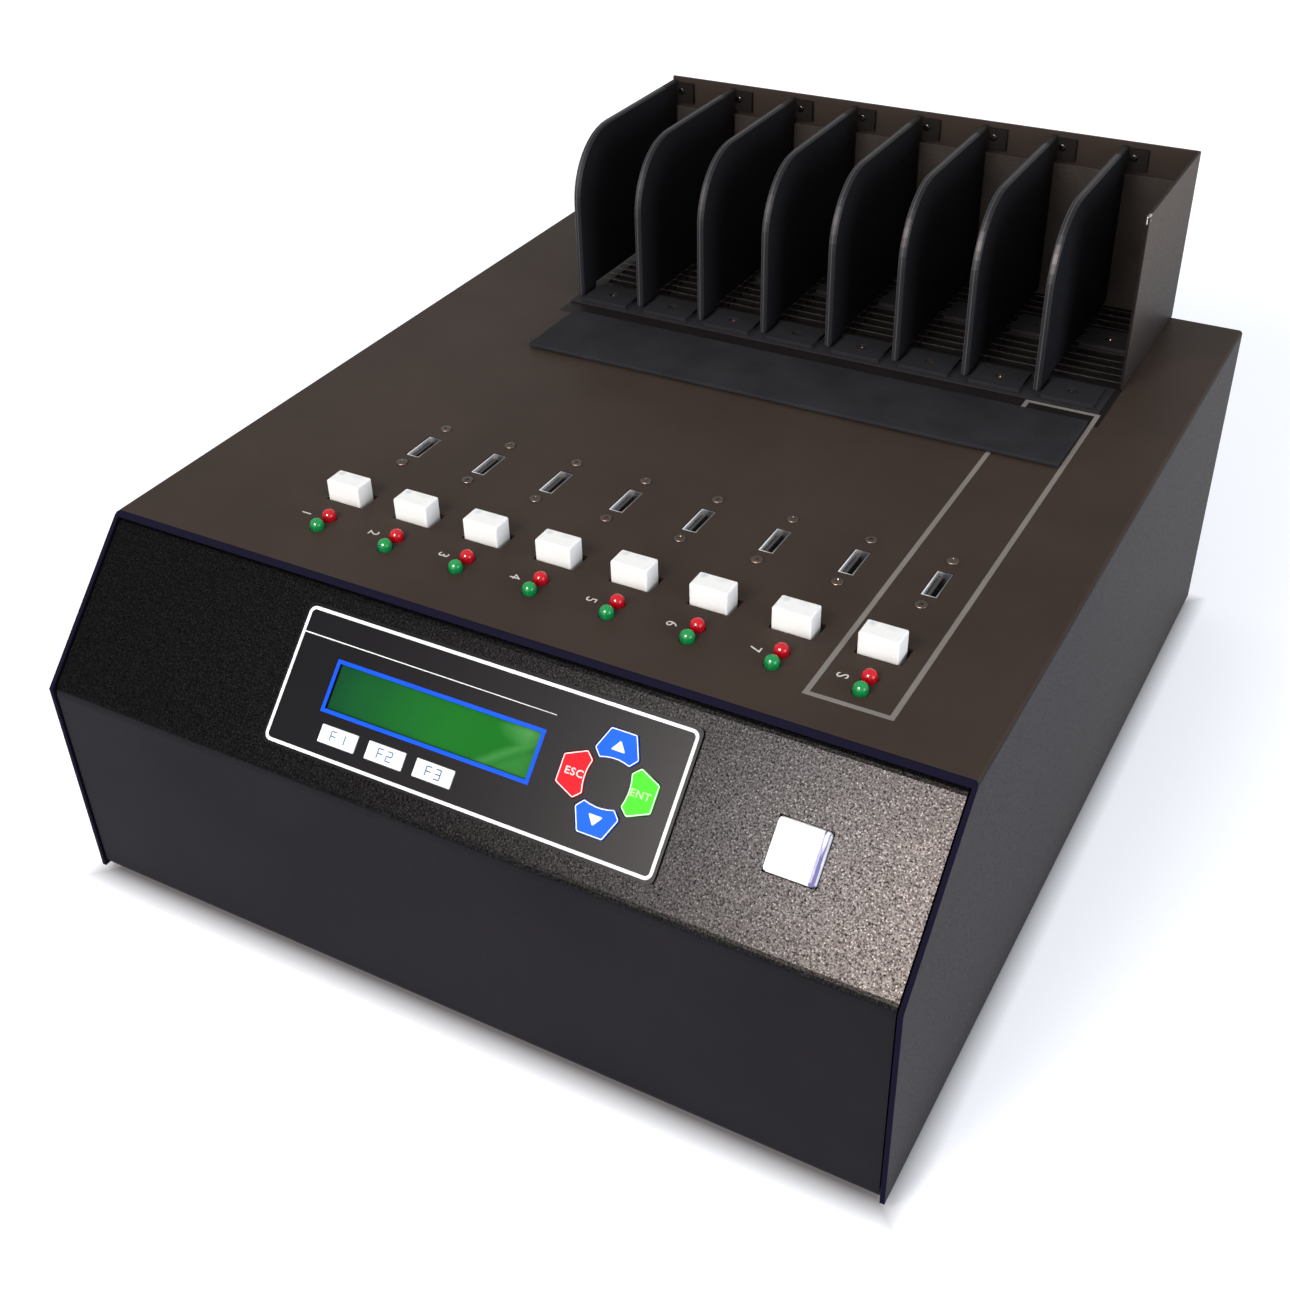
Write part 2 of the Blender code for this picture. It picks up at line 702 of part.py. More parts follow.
def feet(material):
    """Four turned rubber feet with a screw recess below."""
    underside = PAN_UNDERSIDE - REST_GAP
    positions = (
        (LEFT + FOOT_INSET, FRONT + FOOT_INSET),
        (-LEFT - FOOT_INSET, FRONT + FOOT_INSET),
        (LEFT + FOOT_INSET, REAR - FOOT_INSET),
        (-LEFT - FOOT_INSET, REAR - FOOT_INSET),
    )
    names = ("foot_front_left", "foot_front_right", "foot_rear_left", "foot_rear_right")
    profile = [
        (0, underside),
        (FOOT_TOP_RADIUS, underside),
        (FOOT_RADIUS, 0),
        (FOOT_RECESS_RADIUS, 0),
        (FOOT_RECESS_RADIUS, FOOT_RECESS_DEPTH),
        (0, FOOT_RECESS_DEPTH),
    ]
    mesh = turned_mesh("foot", profile, FOOT_STEPS, material)
    for name, (x, y) in zip(names, positions):
        place_mesh(name, mesh, (x, y, 0))


def turned_mesh(name, profile, steps, material):
    """A body turned about the z axis from a profile of (radius, height) points."""
    shape = bmesh.new()
    row = [shape.verts.new((radius, 0, height)) for radius, height in profile]
    edges = [shape.edges.new(pair) for pair in zip(row, row[1:])]
    bmesh.ops.spin(
        shape,
        geom=row + edges,
        cent=(0, 0, 0),
        axis=(0, 0, 1),
        angle=2 * math.pi,
        steps=steps,
        use_merge=True,
    )
    bmesh.ops.remove_doubles(shape, verts=shape.verts[:], dist=0.00001)
    bmesh.ops.recalc_face_normals(shape, faces=shape.faces[:])
    mesh = bpy.data.meshes.new(name)
    shape.to_mesh(mesh)
    shape.free()
    mesh.materials.append(material)
    mesh.shade_smooth()
    return mesh


def ports(material):
    """Eight panel sockets: a shell in the slot, a tongue in its cavity, ears below the plate."""
    half_width = PORT_SLOT_WIDTH / 2 - PORT_CLEARANCE
    half_length = PORT_SLOT_LENGTH / 2 - PORT_CLEARANCE
    top = TOP - PORT_TOP_DROP
    ear_top = PLATE_UNDERSIDE - REST_GAP
    shell = block((-half_width, -half_length, ear_top - WELD_DEPTH), (half_width, half_length, top))
    socket = add_object("port_1", shell, material, (column_x(0), FRONT + PORT_CENTRE_Y, 0))
    ears = prism(
        rounded_rectangle(
            -PORT_EAR_WIDTH / 2,
            -PORT_EAR_LENGTH / 2,
            PORT_EAR_WIDTH / 2,
            PORT_EAR_LENGTH / 2,
            PORT_EAR_RADIUS,
            PORT_EAR_STEPS,
        ),
        ear_top - PORT_EAR_SHEET,
        ear_top,
    )
    fuse(socket, ears, "port_ears")
    body = block(
        (-PORT_BODY_WIDTH / 2, -PORT_BODY_LENGTH / 2, ear_top - PORT_EAR_SHEET - PORT_BODY_DEPTH),
        (PORT_BODY_WIDTH / 2, PORT_BODY_LENGTH / 2, ear_top - PORT_EAR_SHEET / 2),
    )
    fuse(socket, body, "port_body")
    cavity = block(
        (-half_width + PORT_WALL, -half_length + PORT_WALL, top - PORT_CAVITY_DEPTH),
        (half_width - PORT_WALL, half_length - PORT_WALL, top + CUT_OVERRUN),
    )
    cut(socket, cavity, "port_cavity")
    tongue_left = -half_width + PORT_WALL + PORT_TONGUE_SIDE
    floor = top - PORT_CAVITY_DEPTH
    tongue = block(
        (tongue_left, -PORT_TONGUE_LENGTH / 2, floor - WELD_DEPTH),
        (tongue_left + PORT_TONGUE_WIDTH, PORT_TONGUE_LENGTH / 2, floor + PORT_TONGUE_RISE),
    )
    fuse(socket, tongue, "port_tongue")
    for index in range(1, COLUMN_COUNT):
        repeat(socket, f"port_{index + 1}", (COLUMN_PITCH * index, 0, 0))


def repeat(original, name, shift):
    """Another object with the same mesh and the same operations, moved along."""
    twin = original.copy()
    twin.name = name
    twin.location = Vector(original.location) + Vector(shift)
    bpy.context.collection.objects.link(twin)
    for modifier in twin.modifiers:
        if modifier.type == "BOOLEAN":
            tool = modifier.object.copy()
            tool.parent = twin
            bpy.context.collection.objects.link(tool)
            modifier.object = tool
    return twin


def drive_buttons(material):
    """Eight power caps: a block above the plate, a skirt that holds it in and a stem."""
    half_width = CAP_WIDTH / 2
    half_depth = CAP_DEPTH / 2
    cap_x, cap_y = cap_centre(0)
    shape = block((-half_width, -half_depth, -CAP_SKIRT_DROP), (half_width, half_depth, CAP_RISE))
    cap = add_object("drive_button_1", shape, material, (cap_x, cap_y, TOP))
    soften(cap, CAP_EDGE, 2)
    half_stem = CAP_STEM_SIZE / 2
    stem = block(
        (-half_stem, -half_stem, -CAP_STEM_DROP),
        (half_stem, half_stem, -CAP_SKIRT_DROP + CAP_EDGE),
    )
    fuse(cap, stem, "cap_stem")
    for index in range(1, COLUMN_COUNT):
        repeat(cap, f"drive_button_{index + 1}", (COLUMN_PITCH * index, 0, 0))


def lamp_profile(low):
    """Half the outline of a lamp: a straight side and a round dome."""
    shoulder = TOP + LAMP_RISE - LAMP_RADIUS
    dome = arc((0, shoulder), LAMP_RADIUS, 0, math.pi / 2, LAMP_DOME_STEPS)
    return [(0, low), (LAMP_RADIUS, low), *dome[:-1], (0, TOP + LAMP_RISE)]


def switch_board(material):
    """One long board with eight switch bodies and sixteen lamps, hung on posts below the plate."""
    board_top = TOP - BOARD_DROP
    half = (COLUMN_COUNT - 1) * COLUMN_PITCH / 2 + BOARD_SIDE_MARGIN
    middle = column_x(0) + (COLUMN_COUNT - 1) * COLUMN_PITCH / 2
    shape = block(
        (middle - half, FRONT + BOARD_FRONT_Y, board_top - BOARD_SHEET),
        (middle + half, FRONT + BOARD_BACK_Y, board_top),
    )
    board = add_object("switch_board", shape, material)

    bodies = bmesh.new()
    side = SWITCH_BODY_SIDE / 2
    for index in range(COLUMN_COUNT):
        x, y = cap_centre(index)
        add_block(
            bodies,
            (x - side, y - side, board_top - WELD_DEPTH),
            (x + side, y + side, board_top + SWITCH_BODY_HEIGHT),
        )
    fuse(board, bodies, "board_bodies")

    posts = bmesh.new()
    inset = BOARD_POST_INSET
    for x in (middle - half + inset, middle + half - inset):
        for y in (FRONT + BOARD_FRONT_Y + inset, FRONT + BOARD_BACK_Y - inset):
            low = board_top - WELD_DEPTH
            high = PLATE_UNDERSIDE - REST_GAP
            add_drum(posts, BOARD_POST_RADIUS, low, high, (x, y), STANDOFF_STEPS)
    fuse(board, posts, "board_posts")

    lamps = bmesh.new()
    profile = lamp_profile(board_top - WELD_DEPTH)
    for index in range(COLUMN_COUNT):
        for lamp_y in (LAMP_GREEN_Y, LAMP_RED_Y):
            centre = (column_x(index) + LAMP_OFFSET_X, FRONT + lamp_y)
            add_turned(lamps, profile, LAMP_STEPS, centre)
    fuse(board, lamps, "board_lamps")

    wells = bmesh.new()
    side = SWITCH_WELL_SIZE / 2
    high = board_top + SWITCH_BODY_HEIGHT
    for index in range(COLUMN_COUNT):
        x, y = cap_centre(index)
        add_block(
            wells,
            (x - side, y - side, high - SWITCH_WELL_DEPTH),
            (x + side, y + side, high + CUT_OVERRUN),
        )
    cut(board, wells, "switch_wells")


def add_turned(shape, profile, steps, centre):
    """Adds a body turned from a profile whose first and last points lie on its axis."""
    bottom = shape.verts.new((*centre, profile[0][1]))
    top = shape.verts.new((*centre, profile[-1][1]))
    rings = []
    for radius, height in profile[1:-1]:
        ring = [
            shape.verts.new((centre[0] + x, centre[1] + y, height))
            for x, y in arc((0, 0), radius, 0, 2 * math.pi, steps)[:-1]
        ]
        rings.append(ring)
    for lower, upper in zip(rings, rings[1:]):
        for index in range(steps):
            following = (index + 1) % steps
            shape.faces.new((lower[index], lower[following], upper[following], upper[index]))
    for index in range(steps):
        following = (index + 1) % steps
        shape.faces.new((bottom, rings[0][following], rings[0][index]))
        shape.faces.new((top, rings[-1][index], rings[-1][following]))


def dividers(material):
    """Eight upright plates with a round front shoulder, a front foot and a raised lower edge."""
    base = TOP + REST_GAP
    front = REAR - DIVIDER_SETBACK
    rear = REAR - REST_GAP
    pad_face = rear - BACK_PAD_THICKNESS - REST_GAP
    top = TOP + DIVIDER_TOP
    radius = DIVIDER_ARC_RADIUS
    outline = [
        (front, base),
        (front + DIVIDER_FOOT_LENGTH, base),
        (front + DIVIDER_FOOT_LENGTH, TOP + DIVIDER_RAISE),
        (pad_face, TOP + DIVIDER_RAISE),
        (pad_face, TOP + BACK_TAB_BOTTOM),
        (rear, TOP + BACK_TAB_BOTTOM),
        (rear, top),
    ]
    outline += arc((front + radius, top - radius), radius, math.pi / 2, math.pi, DIVIDER_ARC_STEPS)
    half = DIVIDER_SHEET / 2
    shape = sideways(prism(outline, -half, half))
    divider = add_object("divider_1", shape, material, (DIVIDER_FIRST_X, 0, 0))
    soften(divider, DIVIDER_EDGE)
    tab = block(
        (0, rear - BACK_TAB_SHEET, TOP + BACK_TAB_BOTTOM + DIVIDER_BEND_EDGE),
        (half + BACK_TAB_WIDTH, rear - BACK_TAB_INSET, top - DIVIDER_BEND_EDGE),
    )
    fuse(divider, tab, "divider_tab")
    for index in range(1, BAY_COUNT):
        repeat(divider, f"divider_{index + 1}", (DIVIDER_PITCH * index, 0, 0))


def rack_frame(material):
    """Rear wall and right side wall bent from one sheet, with an apron behind the rear panel."""
    left = RACK_LEFT_X
    right = RACK_RIGHT_X
    inner_face = REAR + REST_GAP
    outer_face = inner_face + RACK_SHEET
    side_front = REAR - RACK_SIDE_SETBACK
    radius = RACK_BEND_RADIUS
    outline = [
        (left, inner_face),
        (right - RACK_SHEET, inner_face),
        (right - RACK_SHEET, side_front),
        (right, side_front),
    ]
    outline += arc((right - radius, outer_face - radius), radius, 0, math.pi / 2, BEND_STEPS)
    outline.append((left, outer_face))
    shape = prism(outline, TOP + REST_GAP, TOP + RACK_TOP)
    frame = add_object("rack_frame", shape, material)
    apron = block(
        (left, inner_face, TOP - RACK_APRON),
        (right - radius, outer_face, TOP + REST_GAP + WELD_DEPTH),
    )
    fuse(frame, apron, "rack_apron")


def back_pad(material):
    """Foam sheet on the rear wall of the rack, behind all the bays."""
    rear = REAR
    right = RACK_RIGHT_X - RACK_SHEET - REST_GAP
    low = (RACK_LEFT_X, rear - BACK_PAD_THICKNESS, TOP + REST_GAP)
    add_object("back_pad", block(low, (right, rear, TOP + BACK_PAD_TOP)), material)


def pad_strip(name, front, strip_front, material):
    """Rubber strip under the dividers with one raised pad per bay and a screw recess in each."""
    bottom = TOP + REST_GAP
    step = TOP + PAD_BASE_THICKNESS
    top = TOP + PAD_THICKNESS
    half = PAD_WIDTH / 2
    outer = half + PAD_BASE_MARGIN
    middle = front + PAD_DEPTH / 2
    shape = block(
        (pad_x(0) - outer, strip_front, bottom),
        (pad_x(BAY_COUNT - 1) + outer, strip_front + PAD_STRIP_DEPTH, step),
    )
    strip = add_object(name, shape, material)
    bases = bmesh.new()
    pads = bmesh.new()
    recesses = bmesh.new()
    for index in range(BAY_COUNT):
        x = pad_x(index)
        add_block(
            bases,
            (x - outer, front - PAD_BASE_MARGIN, bottom),
            (x + outer, front + PAD_DEPTH + PAD_BASE_MARGIN, step),
        )
        add_block(pads, (x - half, front, bottom + WELD_DEPTH), (x + half, front + PAD_DEPTH, top))
        add_drum(recesses, PAD_HOLE_RADIUS, step, top + CUT_OVERRUN, (x, middle), PAD_HOLE_STEPS)
    fuse(strip, bases, name + "_bases")
    fuse(strip, pads, name + "_pads")
    cut(strip, recesses, name + "_recesses")


def rest_mat(material):
    """Foam mat glued to the top plate in front of the rack."""
    low = (MAT_LEFT_X, REAR - MAT_FRONT_SETBACK, TOP + REST_GAP)
    high = (MAT_RIGHT_X, REAR - MAT_BACK_SETBACK, TOP + MAT_THICKNESS)
    add_object("rest_mat", block(low, high), material)


def ring_key_outline(grow=0.0):
    """The upper key of the ring about the ring's centre; its inner side is hollow."""
    corners = [
        (-RING_TOP_HALF, RING_OUTER),
        (-RING_SHOULDER_HALF, RING_SHOULDER),
        (-RING_INNER_HALF, RING_INNER),
        (RING_INNER_HALF, RING_INNER),
        (RING_SHOULDER_HALF, RING_SHOULDER),
        (RING_TOP_HALF, RING_OUTER),
    ]
    middle = Vector((0, (RING_OUTER + RING_INNER) / 2))
    grown = []
    for corner in corners:
        outward = (Vector(corner) - middle).normalized() * grow * math.sqrt(2)
        grown.append(Vector(corner) + outward)
    outline = rounded_corners(grown, RING_CORNER_RADIUS + grow, KEY_CORNER_STEPS)
    last = (KEY_CORNER_STEPS + 1) * 3 - 1
    start, end = Vector(outline[last]), Vector(outline[last + 1])
    hollow = []
    for step in range(1, HOLLOW_STEPS):
        share = step / HOLLOW_STEPS
        lift = RING_HOLLOW * 4 * share * (1 - share)
        hollow.append(start.lerp(end, share) + Vector((0, lift)))
    return [tuple(point) for point in outline[: last + 1] + hollow + outline[last + 1 :]]


def ring_matrix(quarter_turns):
    turn = Matrix.Rotation(math.pi / 2 * quarter_turns, 4, "Z")
    return Matrix.Translation((RING_CENTRE_X, RING_CENTRE_Y, 0)) @ turn


def control_overlay(frame, material):
    """Membrane panel glued over the opening, cut through for the display and seven keys."""
    bottom = REST_GAP - PANEL_RECESS
    top = bottom + OVERLAY_SHEET
    outline = rounded_rectangle(
        OVERLAY_LEFT, OVERLAY_BOTTOM, OVERLAY_RIGHT, OVERLAY_TOP, OVERLAY_RADIUS
    )
    overlay = add_object("control_overlay", prism(outline, bottom, top), material, parent=frame)
    low = bottom - CUT_OVERRUN
    high = top + CUT_OVERRUN
    holes = block((WINDOW_LEFT, WINDOW_BOTTOM, low), (WINDOW_RIGHT, WINDOW_TOP, high))
    for left in SOFT_KEY_LEFTS:
        add_block(
            holes,
            (left - KEY_CLEARANCE, SOFT_KEY_BOTTOM - KEY_CLEARANCE, low),
            (
                left + SOFT_KEY_WIDTH + KEY_CLEARANCE,
                SOFT_KEY_BOTTOM + SOFT_KEY_HEIGHT + KEY_CLEARANCE,
                high,
            ),
        )
    cut(overlay, holes, "overlay_windows")
    for quarter_turns in range(4):
        hole = prism(ring_key_outline(KEY_CLEARANCE), low, high)
        turned(hole, ring_matrix(quarter_turns))
        cut(overlay, hole, f"overlay_ring_hole_{quarter_turns}")


def panel_keys(frame, white, blue, red, green):
    """Three soft keys below the display and the ring of four."""
    top = REST_GAP - PANEL_RECESS + OVERLAY_SHEET + KEY_PROUD
    bottom = top - KEY_THICKNESS
    for number, left in enumerate(SOFT_KEY_LEFTS, start=1):
        shape = block(
            (left, SOFT_KEY_BOTTOM, bottom),
            (left + SOFT_KEY_WIDTH, SOFT_KEY_BOTTOM + SOFT_KEY_HEIGHT, top),
        )
        key = add_object(f"key_f{number}", shape, white, parent=frame)
        soften(key, KEY_EDGE)
    names = ("key_up", "key_esc", "key_down", "key_enter")
    colours = (blue, red, blue, green)
    for quarter_turns, (name, colour) in enumerate(zip(names, colours)):
        shape = turned(prism(ring_key_outline(), bottom, top), ring_matrix(quarter_turns))
        add_object(name, shape, colour, parent=frame)


def display_module(frame, material):
    """Display with its metal bezel, the glass standing up into the window."""
    board_top = -KEYBOARD_DROP
    bezel_top = REST_GAP - PANEL_RECESS - LCD_GLASS_STEP
    low = (WINDOW_LEFT - LCD_MARGIN_X, WINDOW_BOTTOM - LCD_MARGIN_Y, board_top + REST_GAP)
    high = (WINDOW_RIGHT + LCD_MARGIN_X, WINDOW_TOP + LCD_MARGIN_Y, bezel_top)
    display = add_object("display_module", block(low, high), material, parent=frame)
    inset = LCD_GLASS_INSET
    glass = block(
        (WINDOW_LEFT + inset, WINDOW_BOTTOM + inset, bezel_top - WELD_DEPTH),
        (WINDOW_RIGHT - inset, WINDOW_TOP - inset, bezel_top + LCD_GLASS_STEP),
    )
    fuse(display, glass, "display_glass")


def key_board(frame, material):
    """Board behind the panel with a stud under each key and four posts to the sheet."""
    margin = PANEL_OPENING_MARGIN - KEYBOARD_MARGIN
    left, right = OVERLAY_LEFT + margin, OVERLAY_RIGHT - margin
    lower, upper = OVERLAY_BOTTOM + margin, OVERLAY_TOP - margin
    shape = block((left, lower, -KEYBOARD_DROP - BOARD_SHEET), (right, upper, -KEYBOARD_DROP))
    board = add_object("key_board", shape, material, parent=frame)
    studs = bmesh.new()
    bottom = -KEYBOARD_DROP - WELD_DEPTH
    key_bottom = REST_GAP - PANEL_RECESS + OVERLAY_SHEET + KEY_PROUD - KEY_THICKNESS
    stud_top = key_bottom - KEY_TRAVEL - REST_GAP
    centres = [
        (soft_left + SOFT_KEY_WIDTH / 2, SOFT_KEY_BOTTOM + SOFT_KEY_HEIGHT / 2)
        for soft_left in SOFT_KEY_LEFTS
    ]
    ring_radius = (RING_OUTER + RING_INNER) / 2
    centres += arc((RING_CENTRE_X, RING_CENTRE_Y), ring_radius, 0, 2 * math.pi, 4)[:-1]
    for centre in centres:
        add_drum(studs, KEY_STUD_RADIUS, bottom, stud_top, centre, STANDOFF_STEPS)
    inset = KEYBOARD_POST_INSET
    post_top = -PANEL_RECESS - PANEL_SHEET - REST_GAP
    for x in (left + inset, right - inset):
        for y in (lower + inset, upper - inset):
            add_drum(studs, KEYBOARD_POST_RADIUS, bottom, post_top, (x, y), STANDOFF_STEPS)
    fuse(board, studs, "key_studs")


def power_button(frame, cap_material, body_material):
    """Square lit cap with chamfered sides in a square body behind the slope."""
    half = POWER_CAP_SIDE / 2
    surface = -PANEL_RECESS
    centre = (POWER_CENTRE_X, POWER_CENTRE_Y, 0)
    shape = block((-half, -half, surface - POWER_CAP_SKIRT), (half, half, surface + POWER_CAP_RISE))
    cap = add_object("power_button", shape, cap_material, centre, frame)
    soften(cap, POWER_CAP_CHAMFER, 2)

    sheet_back = -PANEL_RECESS - PANEL_SHEET
    outer = POWER_OPENING_SIDE / 2 + POWER_BODY_WALL
    flange = outer + POWER_BODY_FLANGE
    top = sheet_back - REST_GAP
    shape = block((-flange, -flange, top - POWER_FLANGE_SHEET), (flange, flange, top))
    body = add_object("power_switch_body", shape, body_material, centre, frame)
    tub = block((-outer, -outer, top - POWER_BODY_DEPTH), (outer, outer, top - WELD_DEPTH))
    fuse(body, tub, "switch_tub")
    inner = POWER_OPENING_SIDE / 2
    well = block((-inner, -inner, top - POWER_WELL_DEPTH), (inner, inner, top + CUT_OVERRUN))
    cut(body, well, "switch_well")


def fan_frame(material):
    """Square frame with a round duct, a motor seat and its struts."""
    front = REAR - PANEL_SHEET - REST_GAP - FAN_DEPTH
    rear = REAR - PANEL_SHEET - REST_GAP
    half = FAN_SIDE / 2
    outline = rounded_rectangle(-half, -half, half, half, FAN_CORNER_RADIUS, FAN_CORNER_STEPS)
    shape = standing(prism(outline, -rear, -front))
    frame = add_object("fan_frame", shape, material, (FAN_CENTRE_X, 0, FAN_CENTRE_Z))
    duct = bmesh.new()
    low = -rear - CUT_OVERRUN
    high = -front + CUT_OVERRUN
    add_drum(duct, FAN_DUCT_RADIUS, low, high, (0, 0), FAN_DUCT_STEPS)
    spacing = FAN_HOLE_SPACING / 2
    for x in (-spacing, spacing):
        for z in (-spacing, spacing):
            add_drum(duct, FAN_HOLE_RADIUS, low, high, (x, z), FAN_HOLE_STEPS)
    cut(frame, standing(duct), "fan_duct")
    seat = bmesh.new()
    add_drum(seat, FAN_MOTOR_RADIUS, -front - FAN_MOTOR_DEPTH, -front, (0, 0), FAN_MOTOR_STEPS)
    fuse(frame, standing(seat), "fan_seat")
    width = FAN_STRUT_WIDTH / 2
    reach = FAN_DUCT_RADIUS + FAN_STRUT_BITE
    for strut in range(FAN_STRUT_COUNT):
        arm = block(
            (FAN_MOTOR_RADIUS / 2, -width, -front - FAN_MOTOR_DEPTH + WELD_DEPTH),
            (reach, width, -front - WELD_DEPTH),
        )
        turn = FAN_STRUT_FIRST + 2 * math.pi * strut / FAN_STRUT_COUNT
        turned(arm, Matrix.Rotation(turn, 4, "Z"))
        fuse(frame, standing(arm), f"fan_strut_{strut}")


def fan_rotor(material):
    """Hub with seven swept blades, turning about an axis along y through its origin."""
    front = REAR - PANEL_SHEET - REST_GAP - FAN_DEPTH + FAN_MOTOR_DEPTH + REST_GAP
    centre = (FAN_CENTRE_X, front, FAN_CENTRE_Z)
    hub = bmesh.new()
    add_drum(hub, ROTOR_HUB_RADIUS, -ROTOR_HUB_DEPTH, 0, (0, 0), ROTOR_HUB_STEPS)
    rotor = add_object("fan_rotor", standing(hub), material, centre)
    soften(rotor, ROTOR_HUB_EDGE)
    blade_depth = ROTOR_HUB_DEPTH * ROTOR_BLADE_DEPTH_SHARE
    margin = (ROTOR_HUB_DEPTH - blade_depth) / 2
    for number in range(ROTOR_BLADE_COUNT):
        turn = 2 * math.pi * number / ROTOR_BLADE_COUNT
        blade = bmesh.new()
        rows = []
        for step in range(ROTOR_BLADE_STEPS + 1):
            share = step / ROTOR_BLADE_STEPS
            radius = ROTOR_HUB_RADIUS - ROTOR_HUB_EDGE
            radius += (ROTOR_TIP_RADIUS - radius) * share
            sweep = ROTOR_ROOT_SWEEP + (ROTOR_TIP_SWEEP - ROTOR_ROOT_SWEEP) * share
            row = []
            for corner in range(ROTOR_CHORD_STEPS + 1):
                along = corner / ROTOR_CHORD_STEPS
                angle = turn + sweep * (along - share / 2)
                depth = margin + blade_depth * along
                row.append((radius, angle, depth))
            rows.append(row)
        add_blade(blade, rows)
        fuse(rotor, blade, f"rotor_blade_{number + 1}")


def add_blade(shape, rows):
    """A closed blade from rows of (radius, angle, depth) points, thickened across the turn."""
    skins = []
    for side in (-1, 1):
        skin = []
        for row in rows:
            line = []
            for radius, angle, depth in row:
                offset = side * ROTOR_BLADE_SHEET / 2
                x = radius * math.cos(angle) - offset * math.sin(angle)
                z = radius * math.sin(angle) + offset * math.cos(angle)
                line.append(shape.verts.new((x, depth, z)))
            skin.append(line)
        skins.append(skin)
    last_row = len(rows) - 1
    last_point = len(rows[0]) - 1
    for skin in skins:
        for lower, upper in zip(skin, skin[1:]):
            for index in range(last_point):
                shape.faces.new((lower[index], lower[index + 1], upper[index + 1], upper[index]))
    back, face = skins
    for row in (0, last_row):
        low, high = back[row], face[row]
        for index in range(last_point):
            shape.faces.new((low[index], low[index + 1], high[index + 1], high[index]))
    for index in (0, last_point):
        low = [line[index] for line in back]
        high = [line[index] for line in face]
        for row in range(last_row):
            shape.faces.new((low[row], low[row + 1], high[row + 1], high[row]))


def fan_guard(material):
    """Round finger guard stamped from sheet, with rings of slots between four spokes."""
    near = REAR + REST_GAP
    shape = bmesh.new()
    steps = GUARD_SPOKE_COUNT * GUARD_SLOT_STEPS * 2
    add_drum(shape, GUARD_RADIUS, -near - GUARD_SHEET, -near, (0, 0), steps)
    guard = add_object("fan_guard", standing(shape), material, (FAN_CENTRE_X, 0, FAN_CENTRE_Z))
    slots = bmesh.new()
    sector = 2 * math.pi / GUARD_SPOKE_COUNT
    for ring in range(GUARD_RING_COUNT):
        inner = GUARD_FIRST_RADIUS + GUARD_RING_PITCH * ring
        outer = inner + GUARD_SLOT_WIDTH
        clear_inner = math.asin(GUARD_SPOKE_WIDTH / 2 / inner)
        clear_outer = math.asin(GUARD_SPOKE_WIDTH / 2 / outer)
        for number in range(GUARD_SPOKE_COUNT):
            start = sector * number
            end = start + sector
            outline = arc((0, 0), outer, start + clear_outer, end - clear_outer, GUARD_SLOT_STEPS)
            outline += arc((0, 0), inner, end - clear_inner, start + clear_inner, GUARD_SLOT_STEPS)
            add_prism(slots, outline, -near - CUT_OVERRUN, -near + CUT_OVERRUN)
    cut(guard, standing(slots), "guard_slots")
    half = GUARD_EAR_HALF_WIDTH
    reach = FAN_HOLE_SPACING / math.sqrt(2) + half
    for corner in range(GUARD_SPOKE_COUNT):
        outline = rounded_rectangle(
            GUARD_RADIUS - GUARD_EAR_BITE, -half, reach, half, half - WELD_DEPTH, GUARD_EAR_STEPS
        )
        ear = prism(outline, -near - GUARD_SHEET, -near)
        turned(ear, Matrix.Rotation(sector * (corner + 1 / 2), 4, "Z"))
        fuse(guard, standing(ear), f"guard_ear_{corner + 1}")


